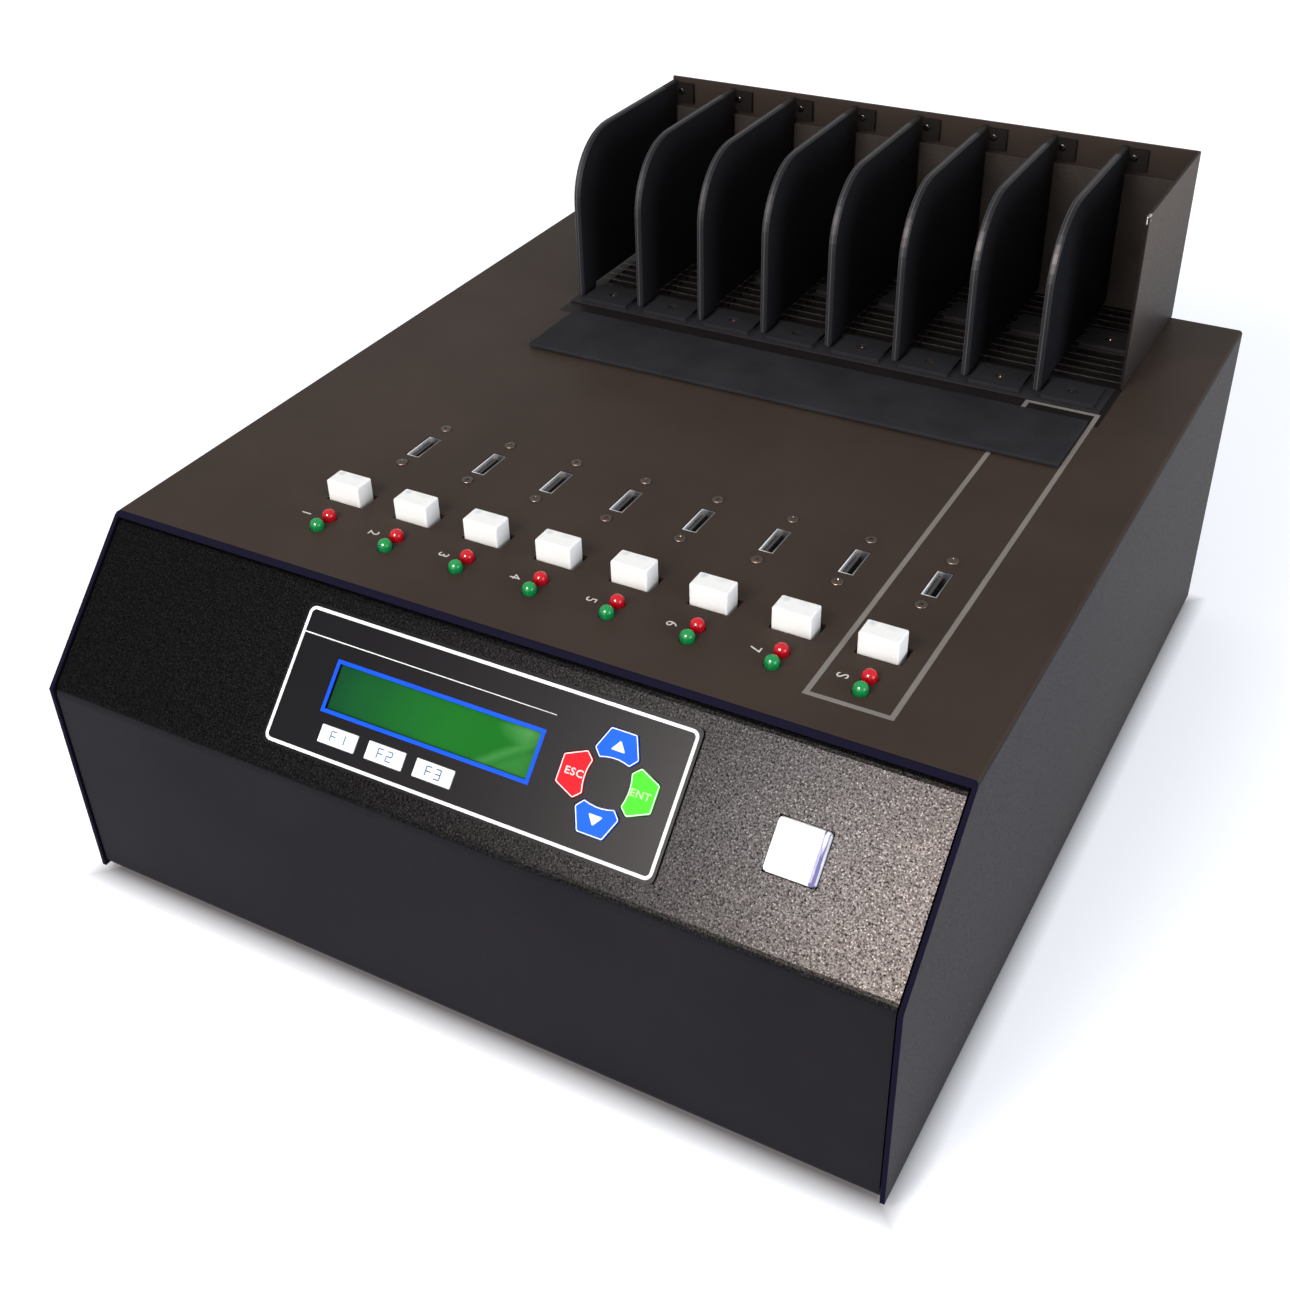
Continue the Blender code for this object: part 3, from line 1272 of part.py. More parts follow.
def power_inlet(material):
    """Moulded inlet: a flange, a body through the panel, a socket with three pins and a rocker well."""
    outline = rounded_rectangle(
        -INLET_FLANGE_WIDTH / 2,
        -INLET_FLANGE_HEIGHT / 2,
        INLET_FLANGE_WIDTH / 2,
        INLET_FLANGE_HEIGHT / 2,
        INLET_FLANGE_RADIUS,
    )
    face = REAR + REST_GAP
    shape = standing(prism(outline, -face - INLET_FLANGE_SHEET, -face))
    inlet = add_object("power_inlet", shape, material, (INLET_CENTRE_X, 0, INLET_CENTRE_Z))
    half_width = INLET_BODY_WIDTH / 2
    half_height = INLET_BODY_HEIGHT / 2
    body = block(
        (-half_width, face - INLET_BODY_DEPTH, -half_height),
        (half_width, face + WELD_DEPTH, half_height),
    )
    fuse(inlet, body, "inlet_body")

    outer = face + INLET_FLANGE_SHEET
    half_width = INLET_SOCKET_WIDTH / 2
    half_height = INLET_SOCKET_HEIGHT / 2
    chamfer = INLET_SOCKET_CHAMFER
    rise = INLET_SOCKET_RISE
    socket = [
        (-half_width, rise - half_height),
        (half_width, rise - half_height),
        (half_width, rise + half_height - chamfer),
        (half_width - chamfer, rise + half_height),
        (-half_width + chamfer, rise + half_height),
        (-half_width, rise + half_height - chamfer),
    ]
    cavity = prism(socket, -outer - CUT_OVERRUN, -outer + INLET_SOCKET_DEPTH)
    cut(inlet, standing(cavity), "inlet_socket")
    pins = bmesh.new()
    floor = outer - INLET_SOCKET_DEPTH
    half_pin = INLET_PIN_WIDTH / 2
    half_tall = INLET_PIN_HEIGHT / 2
    places = (
        (-INLET_PIN_SPACING, rise + INLET_LINE_DROP),
        (0, rise + INLET_EARTH_RISE),
        (INLET_PIN_SPACING, rise + INLET_LINE_DROP),
    )
    for x, z in places:
        add_block(
            pins,
            (x - half_pin, floor - WELD_DEPTH, z - half_tall),
            (x + half_pin, floor + INLET_PIN_LENGTH, z + half_tall),
        )
    fuse(inlet, pins, "inlet_pins")
    half_width = ROCKER_WIDTH / 2 + ROCKER_WELL_MARGIN
    half_height = ROCKER_HEIGHT / 2 + ROCKER_WELL_MARGIN
    well = block(
        (-half_width, outer - ROCKER_WELL_DEPTH, ROCKER_RISE - half_height),
        (half_width, outer + CUT_OVERRUN, ROCKER_RISE + half_height),
    )
    cut(inlet, well, "rocker_well")


def rocker(material):
    """Dished rocker that tips about an axis along x through its origin."""
    pivot = REAR + REST_GAP + INLET_FLANGE_SHEET - ROCKER_DEPTH / 2
    half = ROCKER_HEIGHT / 2
    face = ROCKER_DEPTH / 2 + ROCKER_PROUD
    dished = []
    for step in range(ROCKER_ARC_STEPS + 1):
        share = step / ROCKER_ARC_STEPS
        hollow = ROCKER_DISH * 4 * share * (1 - share)
        dished.append((face - hollow, half - 2 * half * share))
    belly = arc((0, 0), half, ROCKER_BELLY_START, ROCKER_BELLY_END, ROCKER_ARC_STEPS)
    outline = dished + [(y * ROCKER_BELLY_DEPTH / half, z) for y, z in belly]
    shape = sideways(prism(outline, -ROCKER_WIDTH / 2, ROCKER_WIDTH / 2))
    placed = add_object(
        "rocker_switch",
        shape,
        material,
        (INLET_CENTRE_X, pivot, INLET_CENTRE_Z + ROCKER_RISE),
    )
    placed.rotation_euler = (ROCKER_TILT, 0, 0)


def power_supply(material):
    """Closed supply case with an open terminal row at its rear end."""
    half = SUPPLY_WIDTH / 2
    bottom = PAN_FLOOR + REST_GAP
    front = REAR - SUPPLY_SETBACK - SUPPLY_DEPTH
    low = (SUPPLY_CENTRE_X - half, front, bottom)
    high = (SUPPLY_CENTRE_X + half, front + SUPPLY_DEPTH, bottom + SUPPLY_HEIGHT)
    supply = add_object("power_supply", block(low, high), material)
    soften(supply, SUPPLY_EDGE)
    slots = bmesh.new()
    rear = front + SUPPLY_DEPTH
    floor = bottom + TERMINAL_FLOOR_HEIGHT
    first = SUPPLY_CENTRE_X - TERMINAL_PITCH * (TERMINAL_COUNT - 1) / 2
    for number in range(TERMINAL_COUNT):
        x = first + TERMINAL_PITCH * number
        half_slot = (TERMINAL_PITCH - TERMINAL_WIDTH) / 2
        add_block(
            slots,
            (x - half_slot, rear - TERMINAL_DEPTH, floor),
            (x + half_slot, rear + CUT_OVERRUN, floor + TERMINAL_HEIGHT),
        )
    cut(supply, slots, "supply_terminals")


def main_board(material):
    """Controller board on four posts, with its processor, fins and a row of sockets."""
    left = MAIN_BOARD_CENTRE_X - MAIN_BOARD_WIDTH / 2
    front = REAR - MAIN_BOARD_SETBACK - MAIN_BOARD_DEPTH
    bottom = PAN_FLOOR + MAIN_BOARD_STANDOFF
    top = bottom + BOARD_SHEET
    shape = block((left, front, bottom), (left + MAIN_BOARD_WIDTH, front + MAIN_BOARD_DEPTH, top))
    board = add_object("main_board", shape, material)
    extras = bmesh.new()
    inset = MAIN_BOARD_INSET
    for x in (left + inset, left + MAIN_BOARD_WIDTH - inset):
        for y in (front + inset, front + MAIN_BOARD_DEPTH - inset):
            low = PAN_FLOOR + REST_GAP
            add_drum(extras, STANDOFF_RADIUS, low, bottom + WELD_DEPTH, (x, y), STANDOFF_STEPS)
    centre_y = front + MAIN_BOARD_DEPTH / 2
    half = CHIP_SIDE / 2
    low = top - WELD_DEPTH
    add_block(
        extras,
        (MAIN_BOARD_CENTRE_X - half, centre_y - half, low),
        (MAIN_BOARD_CENTRE_X + half, centre_y + half, top + CHIP_HEIGHT),
    )
    first = left + (MAIN_BOARD_WIDTH - SOCKET_ROW_PITCH * (SOCKET_ROW_COUNT - 1)) / 2
    row_front = front + SOCKET_ROW_SETBACK
    for number in range(SOCKET_ROW_COUNT):
        x = first + SOCKET_ROW_PITCH * number
        add_block(
            extras,
            (x - SOCKET_ROW_WIDTH / 2, row_front, low),
            (x + SOCKET_ROW_WIDTH / 2, row_front + SOCKET_ROW_DEPTH, top + SOCKET_ROW_HEIGHT),
        )
    fuse(board, extras, "board_parts")
    fins = bmesh.new()
    pitch = (CHIP_SIDE - FIN_SHEET) / (FIN_COUNT - 1)
    low = top + CHIP_HEIGHT - WELD_DEPTH
    for number in range(FIN_COUNT):
        x = MAIN_BOARD_CENTRE_X - half + pitch * number
        high = low + FIN_HEIGHT
        add_block(fins, (x, centre_y - half, low), (x + FIN_SHEET, centre_y + half, high))
    fuse(board, fins, "board_fins")


def main():
    clear_scene()
    powder = make_material("powder_coat", (0.028, 0.024, 0.021), 0.45, 0.2)
    bezel_paint = make_material("textured_paint", (0.035, 0.033, 0.032), 0.5, 0.2)
    zinc = make_material("zinc_plate", (0.55, 0.56, 0.58), 0.35, 0.9)
    black_plate = make_material("black_plate", (0.012, 0.012, 0.014), 0.45, 0.1)
    rubber = make_material("black_rubber", (0.020, 0.020, 0.021), 0.8)
    foam = make_material("grey_foam", (0.030, 0.031, 0.034), 0.9)
    cap_white = make_material("white_cap", (0.85, 0.85, 0.83), 0.35)
    overlay_black = make_material("overlay_film", (0.010, 0.010, 0.012), 0.3)
    key_white = make_material("key_white", (0.80, 0.82, 0.86), 0.35)
    key_blue = make_material("key_blue", (0.030, 0.120, 0.600), 0.35)
    key_red = make_material("key_red", (0.650, 0.020, 0.030), 0.35)
    key_green = make_material("key_green", (0.090, 0.550, 0.030), 0.35)
    display_green = make_material("display_glass", (0.015, 0.180, 0.025), 0.15)
    circuit = make_material("circuit_board", (0.010, 0.100, 0.040), 0.5)
    plastic = make_material("black_plastic", (0.015, 0.015, 0.016), 0.5)
    shell_metal = make_material("shell_metal", (0.60, 0.60, 0.62), 0.3, 0.9)

    wrap_cover(powder)
    bezel = front_bezel(bezel_paint)
    cut_slope_openings(bezel)
    base_pan(zinc)
    rear_panel(powder)
    feet(rubber)

    ports(shell_metal)
    drive_buttons(cap_white)
    switch_board(circuit)

    rack_frame(powder)
    dividers(black_plate)
    back_pad(foam)
    foot_back = REAR - DIVIDER_SETBACK + DIVIDER_FOOT_LENGTH + REST_GAP
    pad_strip("front_pads", REAR - PAD_FRONT_SETBACK, foot_back, rubber)
    rear_middle = REAR - PAD_REAR_SETBACK + (PAD_DEPTH - PAD_STRIP_DEPTH) / 2
    pad_strip("rear_pads", REAR - PAD_REAR_SETBACK, rear_middle, rubber)
    rest_mat(foam)

    frame = slope_frame()
    control_overlay(frame, overlay_black)
    panel_keys(frame, key_white, key_blue, key_red, key_green)
    display_module(frame, display_green)
    key_board(frame, circuit)
    power_button(frame, cap_white, plastic)

    fan_frame(plastic)
    fan_rotor(plastic)
    fan_guard(zinc)
    power_inlet(plastic)
    rocker(plastic)
    power_supply(zinc)
    main_board(circuit)


main()
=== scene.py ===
import math

import bmesh
import bpy
from mathutils import Matrix, Vector


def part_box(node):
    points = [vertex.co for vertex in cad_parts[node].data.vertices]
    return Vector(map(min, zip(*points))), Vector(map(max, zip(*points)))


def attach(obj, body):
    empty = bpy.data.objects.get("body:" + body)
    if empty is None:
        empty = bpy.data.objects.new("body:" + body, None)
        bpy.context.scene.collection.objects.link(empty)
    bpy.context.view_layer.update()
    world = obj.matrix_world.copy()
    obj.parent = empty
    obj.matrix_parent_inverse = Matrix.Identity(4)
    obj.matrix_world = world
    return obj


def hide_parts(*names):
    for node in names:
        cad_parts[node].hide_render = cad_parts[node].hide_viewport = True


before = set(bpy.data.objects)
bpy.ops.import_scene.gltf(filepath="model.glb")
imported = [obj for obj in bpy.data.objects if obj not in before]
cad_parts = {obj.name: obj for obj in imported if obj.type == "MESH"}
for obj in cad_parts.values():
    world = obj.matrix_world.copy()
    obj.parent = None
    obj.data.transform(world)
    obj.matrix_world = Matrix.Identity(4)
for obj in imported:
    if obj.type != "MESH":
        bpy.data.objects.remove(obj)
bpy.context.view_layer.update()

# Camera: where it stands, where it looks and which way its picture runs
CAMERA_PLACE = Vector((0.250148, -0.473058, 0.431689))
CAMERA_LOOK = Vector((-0.40166174, 0.70005864, -0.59041151))
CAMERA_RIGHT = Vector((0.87555163, 0.48255393, -0.02347437))
CAMERA_LENS_MM = 45.173
CAMERA_SHIFT_X = -0.00657

# Case, all lengths in metres
COVER_LOW, COVER_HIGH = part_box("wrap_cover")
FRONT, REAR = COVER_LOW.y, COVER_HIGH.y
BASE, TOP = COVER_LOW.z, COVER_HIGH.z
FRONT_HEIGHT = 0.0846
SLOPE_DEPTH = 0.0478
SLOPE_ANGLE = math.atan2(TOP - BASE - FRONT_HEIGHT, SLOPE_DEPTH)
SLOPE_PLACE = Matrix.Translation((0, FRONT, BASE + FRONT_HEIGHT)) @ Matrix.Rotation(SLOPE_ANGLE, 4, "X")

# Columns on the top plate: x from the middle of the case, y from its front
COLUMN_COUNT = 8
COLUMN_FIRST_X = -0.0883
COLUMN_PITCH = 0.0290
PORT_Y = FRONT + 0.1343
CAP_OFFSET_X = -0.0018
CAP_MIDDLE_Y = FRONT + 0.0923
CAP_TOP = TOP + 0.0075

# On a cap: its grey patches from its middle, and the height of its darker foot
PATCH_LEFT, PATCH_RIGHT, PATCH_BACK = 0.0045, 0.0020, 0.0022
CAP_FOOT = 0.0022

# In a socket: its tongue, from the socket's middle
TONGUE_LEFT, TONGUE_RIGHT, TONGUE_HALF = -0.0015, -0.0001, 0.0060

# Lamps
LAMP_OFFSET_X = 0.0003
LAMP_GREEN_Y = FRONT + 0.0703
LAMP_RED_Y = FRONT + 0.0771
LAMP_RADIUS = 0.00248
LAMP_TOP = TOP + 0.00368
LAMP_SINK = 0.0010

# Control panel: x from the middle of the case, y up the slope, z out of it
FILM_FACE = 0.0004
KEY_FACE = 0.0007
RING_X = 0.0544
RING_Y = 0.0333
ARROW_REACH, ESCAPE_REACH, ENTER_REACH = 0.0118, 0.0114, 0.0116
SOFT_KEYS_LEFT = (-0.0475, -0.0288, -0.0101)
SOFT_KEY_HALF = 0.0072
SOFT_KEY_Y = 0.0183
WINDOW_LEFT, WINDOW_RIGHT = -0.0491, 0.0285
WINDOW_LOW, WINDOW_HIGH = 0.0260, 0.0416

# Sheet metal: half its thickness, how deep the painted shade of a cut edge and other face masks go, and how
# near counts as on a face
SHEET_HALF = 0.0006
EDGE_DEPTH = 0.0003
FACE_SKIN = 0.0001

# Cover: how far in its painted-shade inner sides reach, where the rear panel's lap ends, and where along y
# its flanks' painted light turns from cool to warm
INNER_REACH = 0.0040
REAR_LAP = 0.0030
FLANK_COOL_Y, FLANK_WARM_Y = -0.05, 0.18

# Front sheet: the pebbles begin between these two depths below its fold
PEBBLE_START, PEBBLE_FULL = 0.0012, 0.0002

# Rack: x from the middle of the case, setback from its rear, rise from the top plate
RACK_LEFT, RACK_RIGHT = -0.1060, 0.1306
RACK_RISE = 0.0700
CHIP_REACH = 0.0060
LINER_SETBACK, MAT_SETBACK = 0.0745, 0.1068
VENT_SETBACK, VENT_PITCH, VENT_HALF, VENT_RIM = 0.0699, 0.0059, 0.0017, 0.0005
DIVIDER_FIRST_X = -0.1045
DIVIDER_PITCH = 0.0294
DIVIDER_HALF = 0.0015
DIVIDER_BACK = 0.0120
STRIP_SETBACK, STRIP_SHORT, STRIP_HEIGHT, STRIP_ROUNDING = 0.0967, 0.0026, 0.0006, 0.00015
FOAM_CUTS = 63

# Screws: x from the middle of the case, y from its front, setback from its rear, rise from the top plate
TURN_PER_SCREW = 0.7
SOCKET_SCREW_SHIFT = -0.0002
SOCKET_SCREWS_Y = (0.1207, 0.1491)
DIVIDER_SCREWS_X = (-0.1008, -0.0719, -0.0417, -0.0125, 0.0169, 0.0465, 0.0757, 0.1053)
DIVIDER_SCREW_RISE = 0.0648
BACK_WALL_SETBACK = 0.0014
PAD_SCREW_FIRST_X, PAD_SCREW_PITCH = -0.0897, 0.0292
PAD_SCREWS_Y = (0.2791, 0.3299)
PAD_RISE = 0.0009
COVER_SCREWS_X = (-0.147, 0.147)
COVER_SCREWS_Z = (0.020, 0.122)

# Fan and its finger guard
FAN_X, FAN_Z = -0.075, 0.060
FAN_SCREW_HALF = 0.03575
FAN_EAR_FACE = 0.0014
GUARD_HUB, GUARD_GAP, GUARD_BARS = 0.0100, 0.0040, 5
GUARD_RADIUS, GUARD_PITCH, GUARD_ROUNDING = 0.0398, 0.0060, 0.00025
SPOKE_WIDTH, SPOKE_SHIFT, SPOKE_SINK = 0.0030, 0.0002, 0.00005
EAR_HALF, EAR_START, EAR_SINK = 0.0042, 0.0022, 0.00003

# Printing: how far it stands proud and sinks in, and how its letters are set
INK = 0.00005
INK_SINK = 0.00002
CAPITAL_SHARE = 0.73
LETTER_SPACING = 1.12
LETTER_STEPS = 4
RIM_INSET, RIM_LINE = 0.00012, 0.00032

# Each column's mark, its x from the middle of the case and its y from the front
MARK_HEIGHT = 0.0041
MARKS = (
    ("1", -0.0977, 0.0766), ("2", -0.0684, 0.0766), ("3", -0.0389, 0.0761), ("4", -0.0098, 0.0758),
    ("5", 0.0192, 0.0757), ("6", 0.0487, 0.0756), ("7", 0.0779, 0.0755), ("S", 0.1071, 0.0753),
)

# How near two corners are taken as one, and how near a face counts as a key's top
SAME_CORNER = 0.000005
SAME_FACE = 0.00002

# Studio: painted contact shadow round the case, the paper's glow further out, and the light of the sky
FLOOR_SIZE = 8.0
SHADOW_INSIDE, SHADOW_OUTSIDE = -0.004, 0.008
GLOW_NEAR, GLOW_FAR = 0.5, 1.8
AMBIENT_STRENGTH = 0.58


# Shader helpers

def ink(red, green, blue):
    """A colour picked as screen values from 0 to 255, as the linear values that a shader takes."""
    def linear(value):
        share = value / 255
        return share / 12.92 if share <= 0.04045 else ((share + 0.055) / 1.055) ** 2.4
    return (linear(red), linear(green), linear(blue), 1.0)


def shaded(tone, share):
    return tuple(min(1.0, part * share) for part in tone[:3]) + (1.0,)


class Value:
    """A shader socket; sums, products and powers of it add their Math nodes."""

    def __init__(self, paint, socket):
        self.paint = paint
        self.socket = socket

    def maths(self, operation, other=None, swapped=False):
        terms = [self] if other is None else [self, other]
        if swapped:
            terms.reverse()
        return self.paint.node("ShaderNodeMath", {"operation": operation}, dict(enumerate(terms)))

    def __add__(self, other):
        return self.maths("ADD", other)

    def __radd__(self, other):
        return self.maths("ADD", other, swapped=True)

    def __sub__(self, other):
        return self.maths("SUBTRACT", other)

    def __rsub__(self, other):
        return self.maths("SUBTRACT", other, swapped=True)

    def __mul__(self, other):
        return self.maths("MULTIPLY", other)

    def __rmul__(self, other):
        return self.maths("MULTIPLY", other, swapped=True)

    def __truediv__(self, other):
        return self.maths("DIVIDE", other)

    def __pow__(self, other):
        return self.maths("POWER", other)

    def __abs__(self):
        return self.maths("ABSOLUTE")

    def __gt__(self, other):
        return self.maths("GREATER_THAN", other)

    def __lt__(self, other):
        return self.maths("LESS_THAN", other)

    def most(self, other):
        return self.maths("MAXIMUM", other)

    def past_nearest(self, pitch):
        """How far this lies past the nearest multiple of the pitch."""
        return self - (self / pitch).maths("ROUND") * pitch


class Paint:
    """A material: constants go on its Principled shader's own sockets, and nodes feed what varies."""

    def __init__(self, name, **constants):
        self.material = bpy.data.materials.new(name)
        self.material.use_nodes = True
        self.tree = self.material.node_tree
        self.shader = self.tree.nodes["Principled BSDF"]
        for socket, value in constants.items():
            self.shader.inputs[socket.replace("_", " ")].default_value = value
        self.place = self.node("ShaderNodeTexCoord", output="Object")

    def node(self, kind, settings=None, inputs=None, output=0):
        """Adds a node of this type; its settings are made first, then its sockets get values or links."""
        made = self.tree.nodes.new(kind)
        for setting, value in (settings or {}).items():
            if setting == "stops":
                for _ in value[2:]:
                    made.color_ramp.elements.new(1.0)
                for element, (position, colour) in zip(made.color_ramp.elements, value):
                    element.position, element.color = position, colour
            else:
                setattr(made, setting, value)
        for socket, value in (inputs or {}).items():
            self.feed(made.inputs[socket], value)
        return Value(self, made.outputs[output])

    def feed(self, socket, value):
        if isinstance(value, Value):
            self.tree.links.new(value.socket, socket)
        else:
            socket.default_value = value

    def set(self, socket, value):
        self.feed(self.shader.inputs[socket], value)

    def get(self, socket):
        """What feeds this socket of the shader so far."""
        return Value(self, self.shader.inputs[socket].links[0].from_socket)

    def stretched(self, x, y, z):
        return self.node("ShaderNodeMapping", {}, {"Vector": self.place, "Scale": (x, y, z)})

    def noise(self, size, detail=3.0, roughness=0.5, place=None):
        """Cloudy noise with patches about this size, in metres."""
        inputs = {"Vector": place or self.place, "Scale": 1 / size, "Detail": detail, "Roughness": roughness}
        return self.node("ShaderNodeTexNoise", {}, inputs)

    def cells(self, size, feature="F1", randomness=1.0):
        """Distance from the middles, or edges, of cells about this size."""
        inputs = {"Vector": self.place, "Scale": 1 / size, "Randomness": randomness}
        return self.node("ShaderNodeTexVoronoi", {"feature": feature}, inputs, output="Distance")

    def ramp(self, value, *stops):
        return self.node("ShaderNodeValToRGB", {"stops": stops}, {0: value})

    def spread(self, value, low, high, to_low=0.0, to_high=1.0):
        """The stretch of the value from low to high moved onto another, and held inside it."""
        inputs = {"Value": value, "From Min": low, "From Max": high, "To Min": to_low, "To Max": to_high}
        return self.node("ShaderNodeMapRange", {"clamp": True}, inputs)

    def mix(self, share, first, second):
        return self.node("ShaderNodeMix", {"data_type": "RGBA"}, {0: share, 6: first, 7: second}, output=2)

    def axis(self, name):
        return self.node("ShaderNodeSeparateXYZ", {}, {0: self.place}, output=name)

    def bump(self, height, depth, strength=1.0):
        """Relief in which a height of 0 to 1 stands for this depth in metres."""
        inputs = {"Height": height, "Distance": depth, "Strength": strength}
        self.set("Normal", self.node("ShaderNodeBump", {}, inputs))


# Finishes

def powder_coat(name, tone, gloss_low, gloss_high):
    """Fine powder coat: orange-peel relief, a cloudy tone and sparse paler specks."""
    paint = Paint(name, Specular_IOR_Level=0.05)
    clouds = paint.noise(0.06, detail=5, roughness=0.6)
    grain = paint.noise(0.0007, detail=3, roughness=0.6)
    specks = paint.spread(paint.cells(0.0016), 0.0, 0.13, 1.0, 0.0)
    tone_share = paint.spread(clouds * 0.8 + grain * 0.3, 0.38, 0.72)
    body = paint.mix(tone_share, shaded(tone, 0.84), shaded(tone, 1.16))
    paint.set("Base Color", paint.mix(specks * 0.3, body, shaded(tone, 2.4)))
    paint.set("Roughness", paint.spread(grain, 0.3, 0.7, gloss_low, gloss_high))
    paint.bump(grain, 0.00006, 0.5)
    return paint


def cover_coat():
    """The cover's powder coat with painted shade and light: darker cool flanks, near black inner sides, navy
    cut front edges, and a near black floor under the rack, where the vent slots have pale rims as painted
    highlights."""
    paint = powder_coat("case_coat", ink(58, 48, 42), 0.42, 0.56)
    ahead = FRONT + EDGE_DEPTH - paint.axis("Y")
    above = (paint.axis("Z") - BASE - FRONT_HEIGHT) * math.cos(SLOPE_ANGLE)
    out_of_slope = above - (paint.axis("Y") - FRONT) * math.sin(SLOPE_ANGLE) + EDGE_DEPTH
    edge = ahead.most(out_of_slope) > 0
    flank = abs(paint.axis("X")) > COVER_HIGH.x - EDGE_DEPTH
    floor = (paint.axis("X") > RACK_LEFT) * (paint.axis("X") < RACK_RIGHT)
    floor *= (paint.axis("Y") > REAR - MAT_SETBACK) * (paint.axis("Z") > TOP - INNER_REACH)
    # Painted shade: the plate under the rack is near black.
    body = paint.mix(floor, paint.get("Base Color"), ink(25, 22, 22))
    # Painted shade: the inner faces of the cover's sides are near black.
    aside = abs(paint.axis("X")) - COVER_HIGH.x
    inner = (aside < -SHEET_HALF) * (aside > -INNER_REACH)
    inner *= (paint.axis("Z") < TOP - SHEET_HALF) * (paint.axis("Y") < REAR - REAR_LAP)
    body = paint.mix(inner, body, ink(9, 9, 14))
    # Painted highlights: pale rims along the vent slots in the plate under the rack.
    row = paint.axis("Y") - (REAR - VENT_SETBACK)
    behind = row.past_nearest(VENT_PITCH)
    rim = (behind > VENT_HALF + FACE_SKIN) * (behind < VENT_HALF + VENT_RIM)
    rim *= (row > -VENT_PITCH / 2) * floor * (paint.axis("Z") > TOP - FACE_SKIN)
    body = paint.mix(rim, body, ink(118, 112, 106))
    # Painted light and shade: the flanks are darker and cool towards the front, warmer towards the rear.
    to_rear = paint.spread(paint.axis("Y"), FLANK_COOL_Y, FLANK_WARM_Y)
    body = paint.mix(flank * 0.78, body, paint.mix(to_rear, ink(17, 18, 27), ink(34, 30, 30)))
    # Painted shade: the cut front edges are navy black, and rough enough to show no gloss.
    paint.set("Base Color", paint.mix(edge, body, ink(5, 5, 28)))
    paint.set("Roughness", paint.get("Roughness").most(edge * 0.9))
    return paint


def rack_coat():
    """Taupe outside and darker towards the top plate as painted shade, near black inside as painted shade,
    with a few chips at the side wall's top front corner.
    """
    # Painted shade: the rack is near black inside.
    paint = powder_coat("rack_coat", ink(24, 20, 19), 0.42, 0.56)
    outer = paint.axis("X") > RACK_RIGHT - EDGE_DEPTH
    # Painted shade: the outer side wall darkens towards the top plate.
    rise = paint.spread(paint.axis("Z"), TOP, TOP + RACK_RISE)
    taupe = paint.mix(rise, ink(38, 34, 33), ink(66, 56, 49))
    body = paint.mix(outer, paint.get("Base Color"), taupe)
    body = paint.mix(paint.axis("Y") > REAR - SHEET_HALF, body, ink(54, 45, 40))
    low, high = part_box("rack_frame")
    off_corner = ((paint.axis("Y") - low.y) ** 2 + (paint.axis("Z") - high.z) ** 2) ** 0.5
    chips = paint.noise(0.0013, detail=3) - off_corner / CHIP_REACH * 0.35
    paint.set("Base Color", paint.mix(chips > 0.45, body, ink(190, 186, 182)))
    return paint


def divider_coat():
    """Near black sheet; its front edge is glossier, with painted light: paler on its left half, with two thin
    painted highlight lines.
    """
    paint = powder_coat("plate_coat", ink(25, 25, 28), 0.46, 0.58)
    paint.set("Coat Roughness", 0.42)
    at_back = paint.axis("Y") > REAR - DIVIDER_BACK
    body = paint.mix(at_back, paint.get("Base Color"), ink(24, 21, 20))
    across = (paint.axis("X") - DIVIDER_FIRST_X).past_nearest(DIVIDER_PITCH)
    edge = (abs(across) < DIVIDER_HALF * 0.99) * (paint.axis("Y") < REAR - DIVIDER_BACK)
    # Painted light on the front edge: its left half is paler, and two thin lines on it are painted
    # highlights.
    left_highlight = across < -DIVIDER_HALF * 0.72
    middle_highlight = abs(across) < DIVIDER_HALF * 0.13
    body = paint.mix((across < 0) * edge, body, ink(34, 34, 37))
    paint.set("Base Color", paint.mix(left_highlight.most(middle_highlight) * edge, body, ink(70, 70, 74)))
    paint.set("Coat Weight", edge * 0.2)
    return paint


def pebbled_paint():
    """Pebbled paint whose crowns glint on the slope; the upright front is plainer, and painted paler as
    light.
    """
    paint = Paint("pebbled_paint", Specular_IOR_Level=0.016, Coat_Roughness=0.27)
    fold = BASE + FRONT_HEIGHT
    slope = paint.spread(paint.axis("Z"), fold - PEBBLE_START, fold - PEBBLE_FULL)
    pebbles = paint.cells(0.0010)
    hollows = paint.noise(0.00062, detail=2, roughness=0.6)
    drift = paint.noise(0.05, detail=3)
    height = (1 - pebbles) * 0.5 + hollows * 0.8
    # Painted shade: the low parts of the relief are a little darker than its crowns.
    dark = paint.mix(paint.spread(height, 0.65, 0.95), ink(3, 3, 4), ink(9, 9, 10))
    # Painted light: the upright front is paler than the slope.
    plain = paint.mix(drift, ink(25, 24, 28), ink(35, 34, 38))
    paint.set("Base Color", paint.mix(slope, plain, dark))
    paint.set("Roughness", paint.spread(hollows, 0.35, 0.65, 0.26, 0.34))
    crown = paint.spread(pebbles + hollows * 0.35, 0.30, 0.52, 1.0, 0.0)
    glints = crown * paint.spread(hollows, 0.36, 0.62, 0.35, 1.0)
    sheen = paint.spread(hollows, 0.34, 0.66, 0.0, 0.13)
    paint.set("Coat Weight", (glints * 0.22 + sheen) * slope)
    paint.bump(height * (slope * 0.85 + 0.15), 0.00021, 0.8)
    return paint


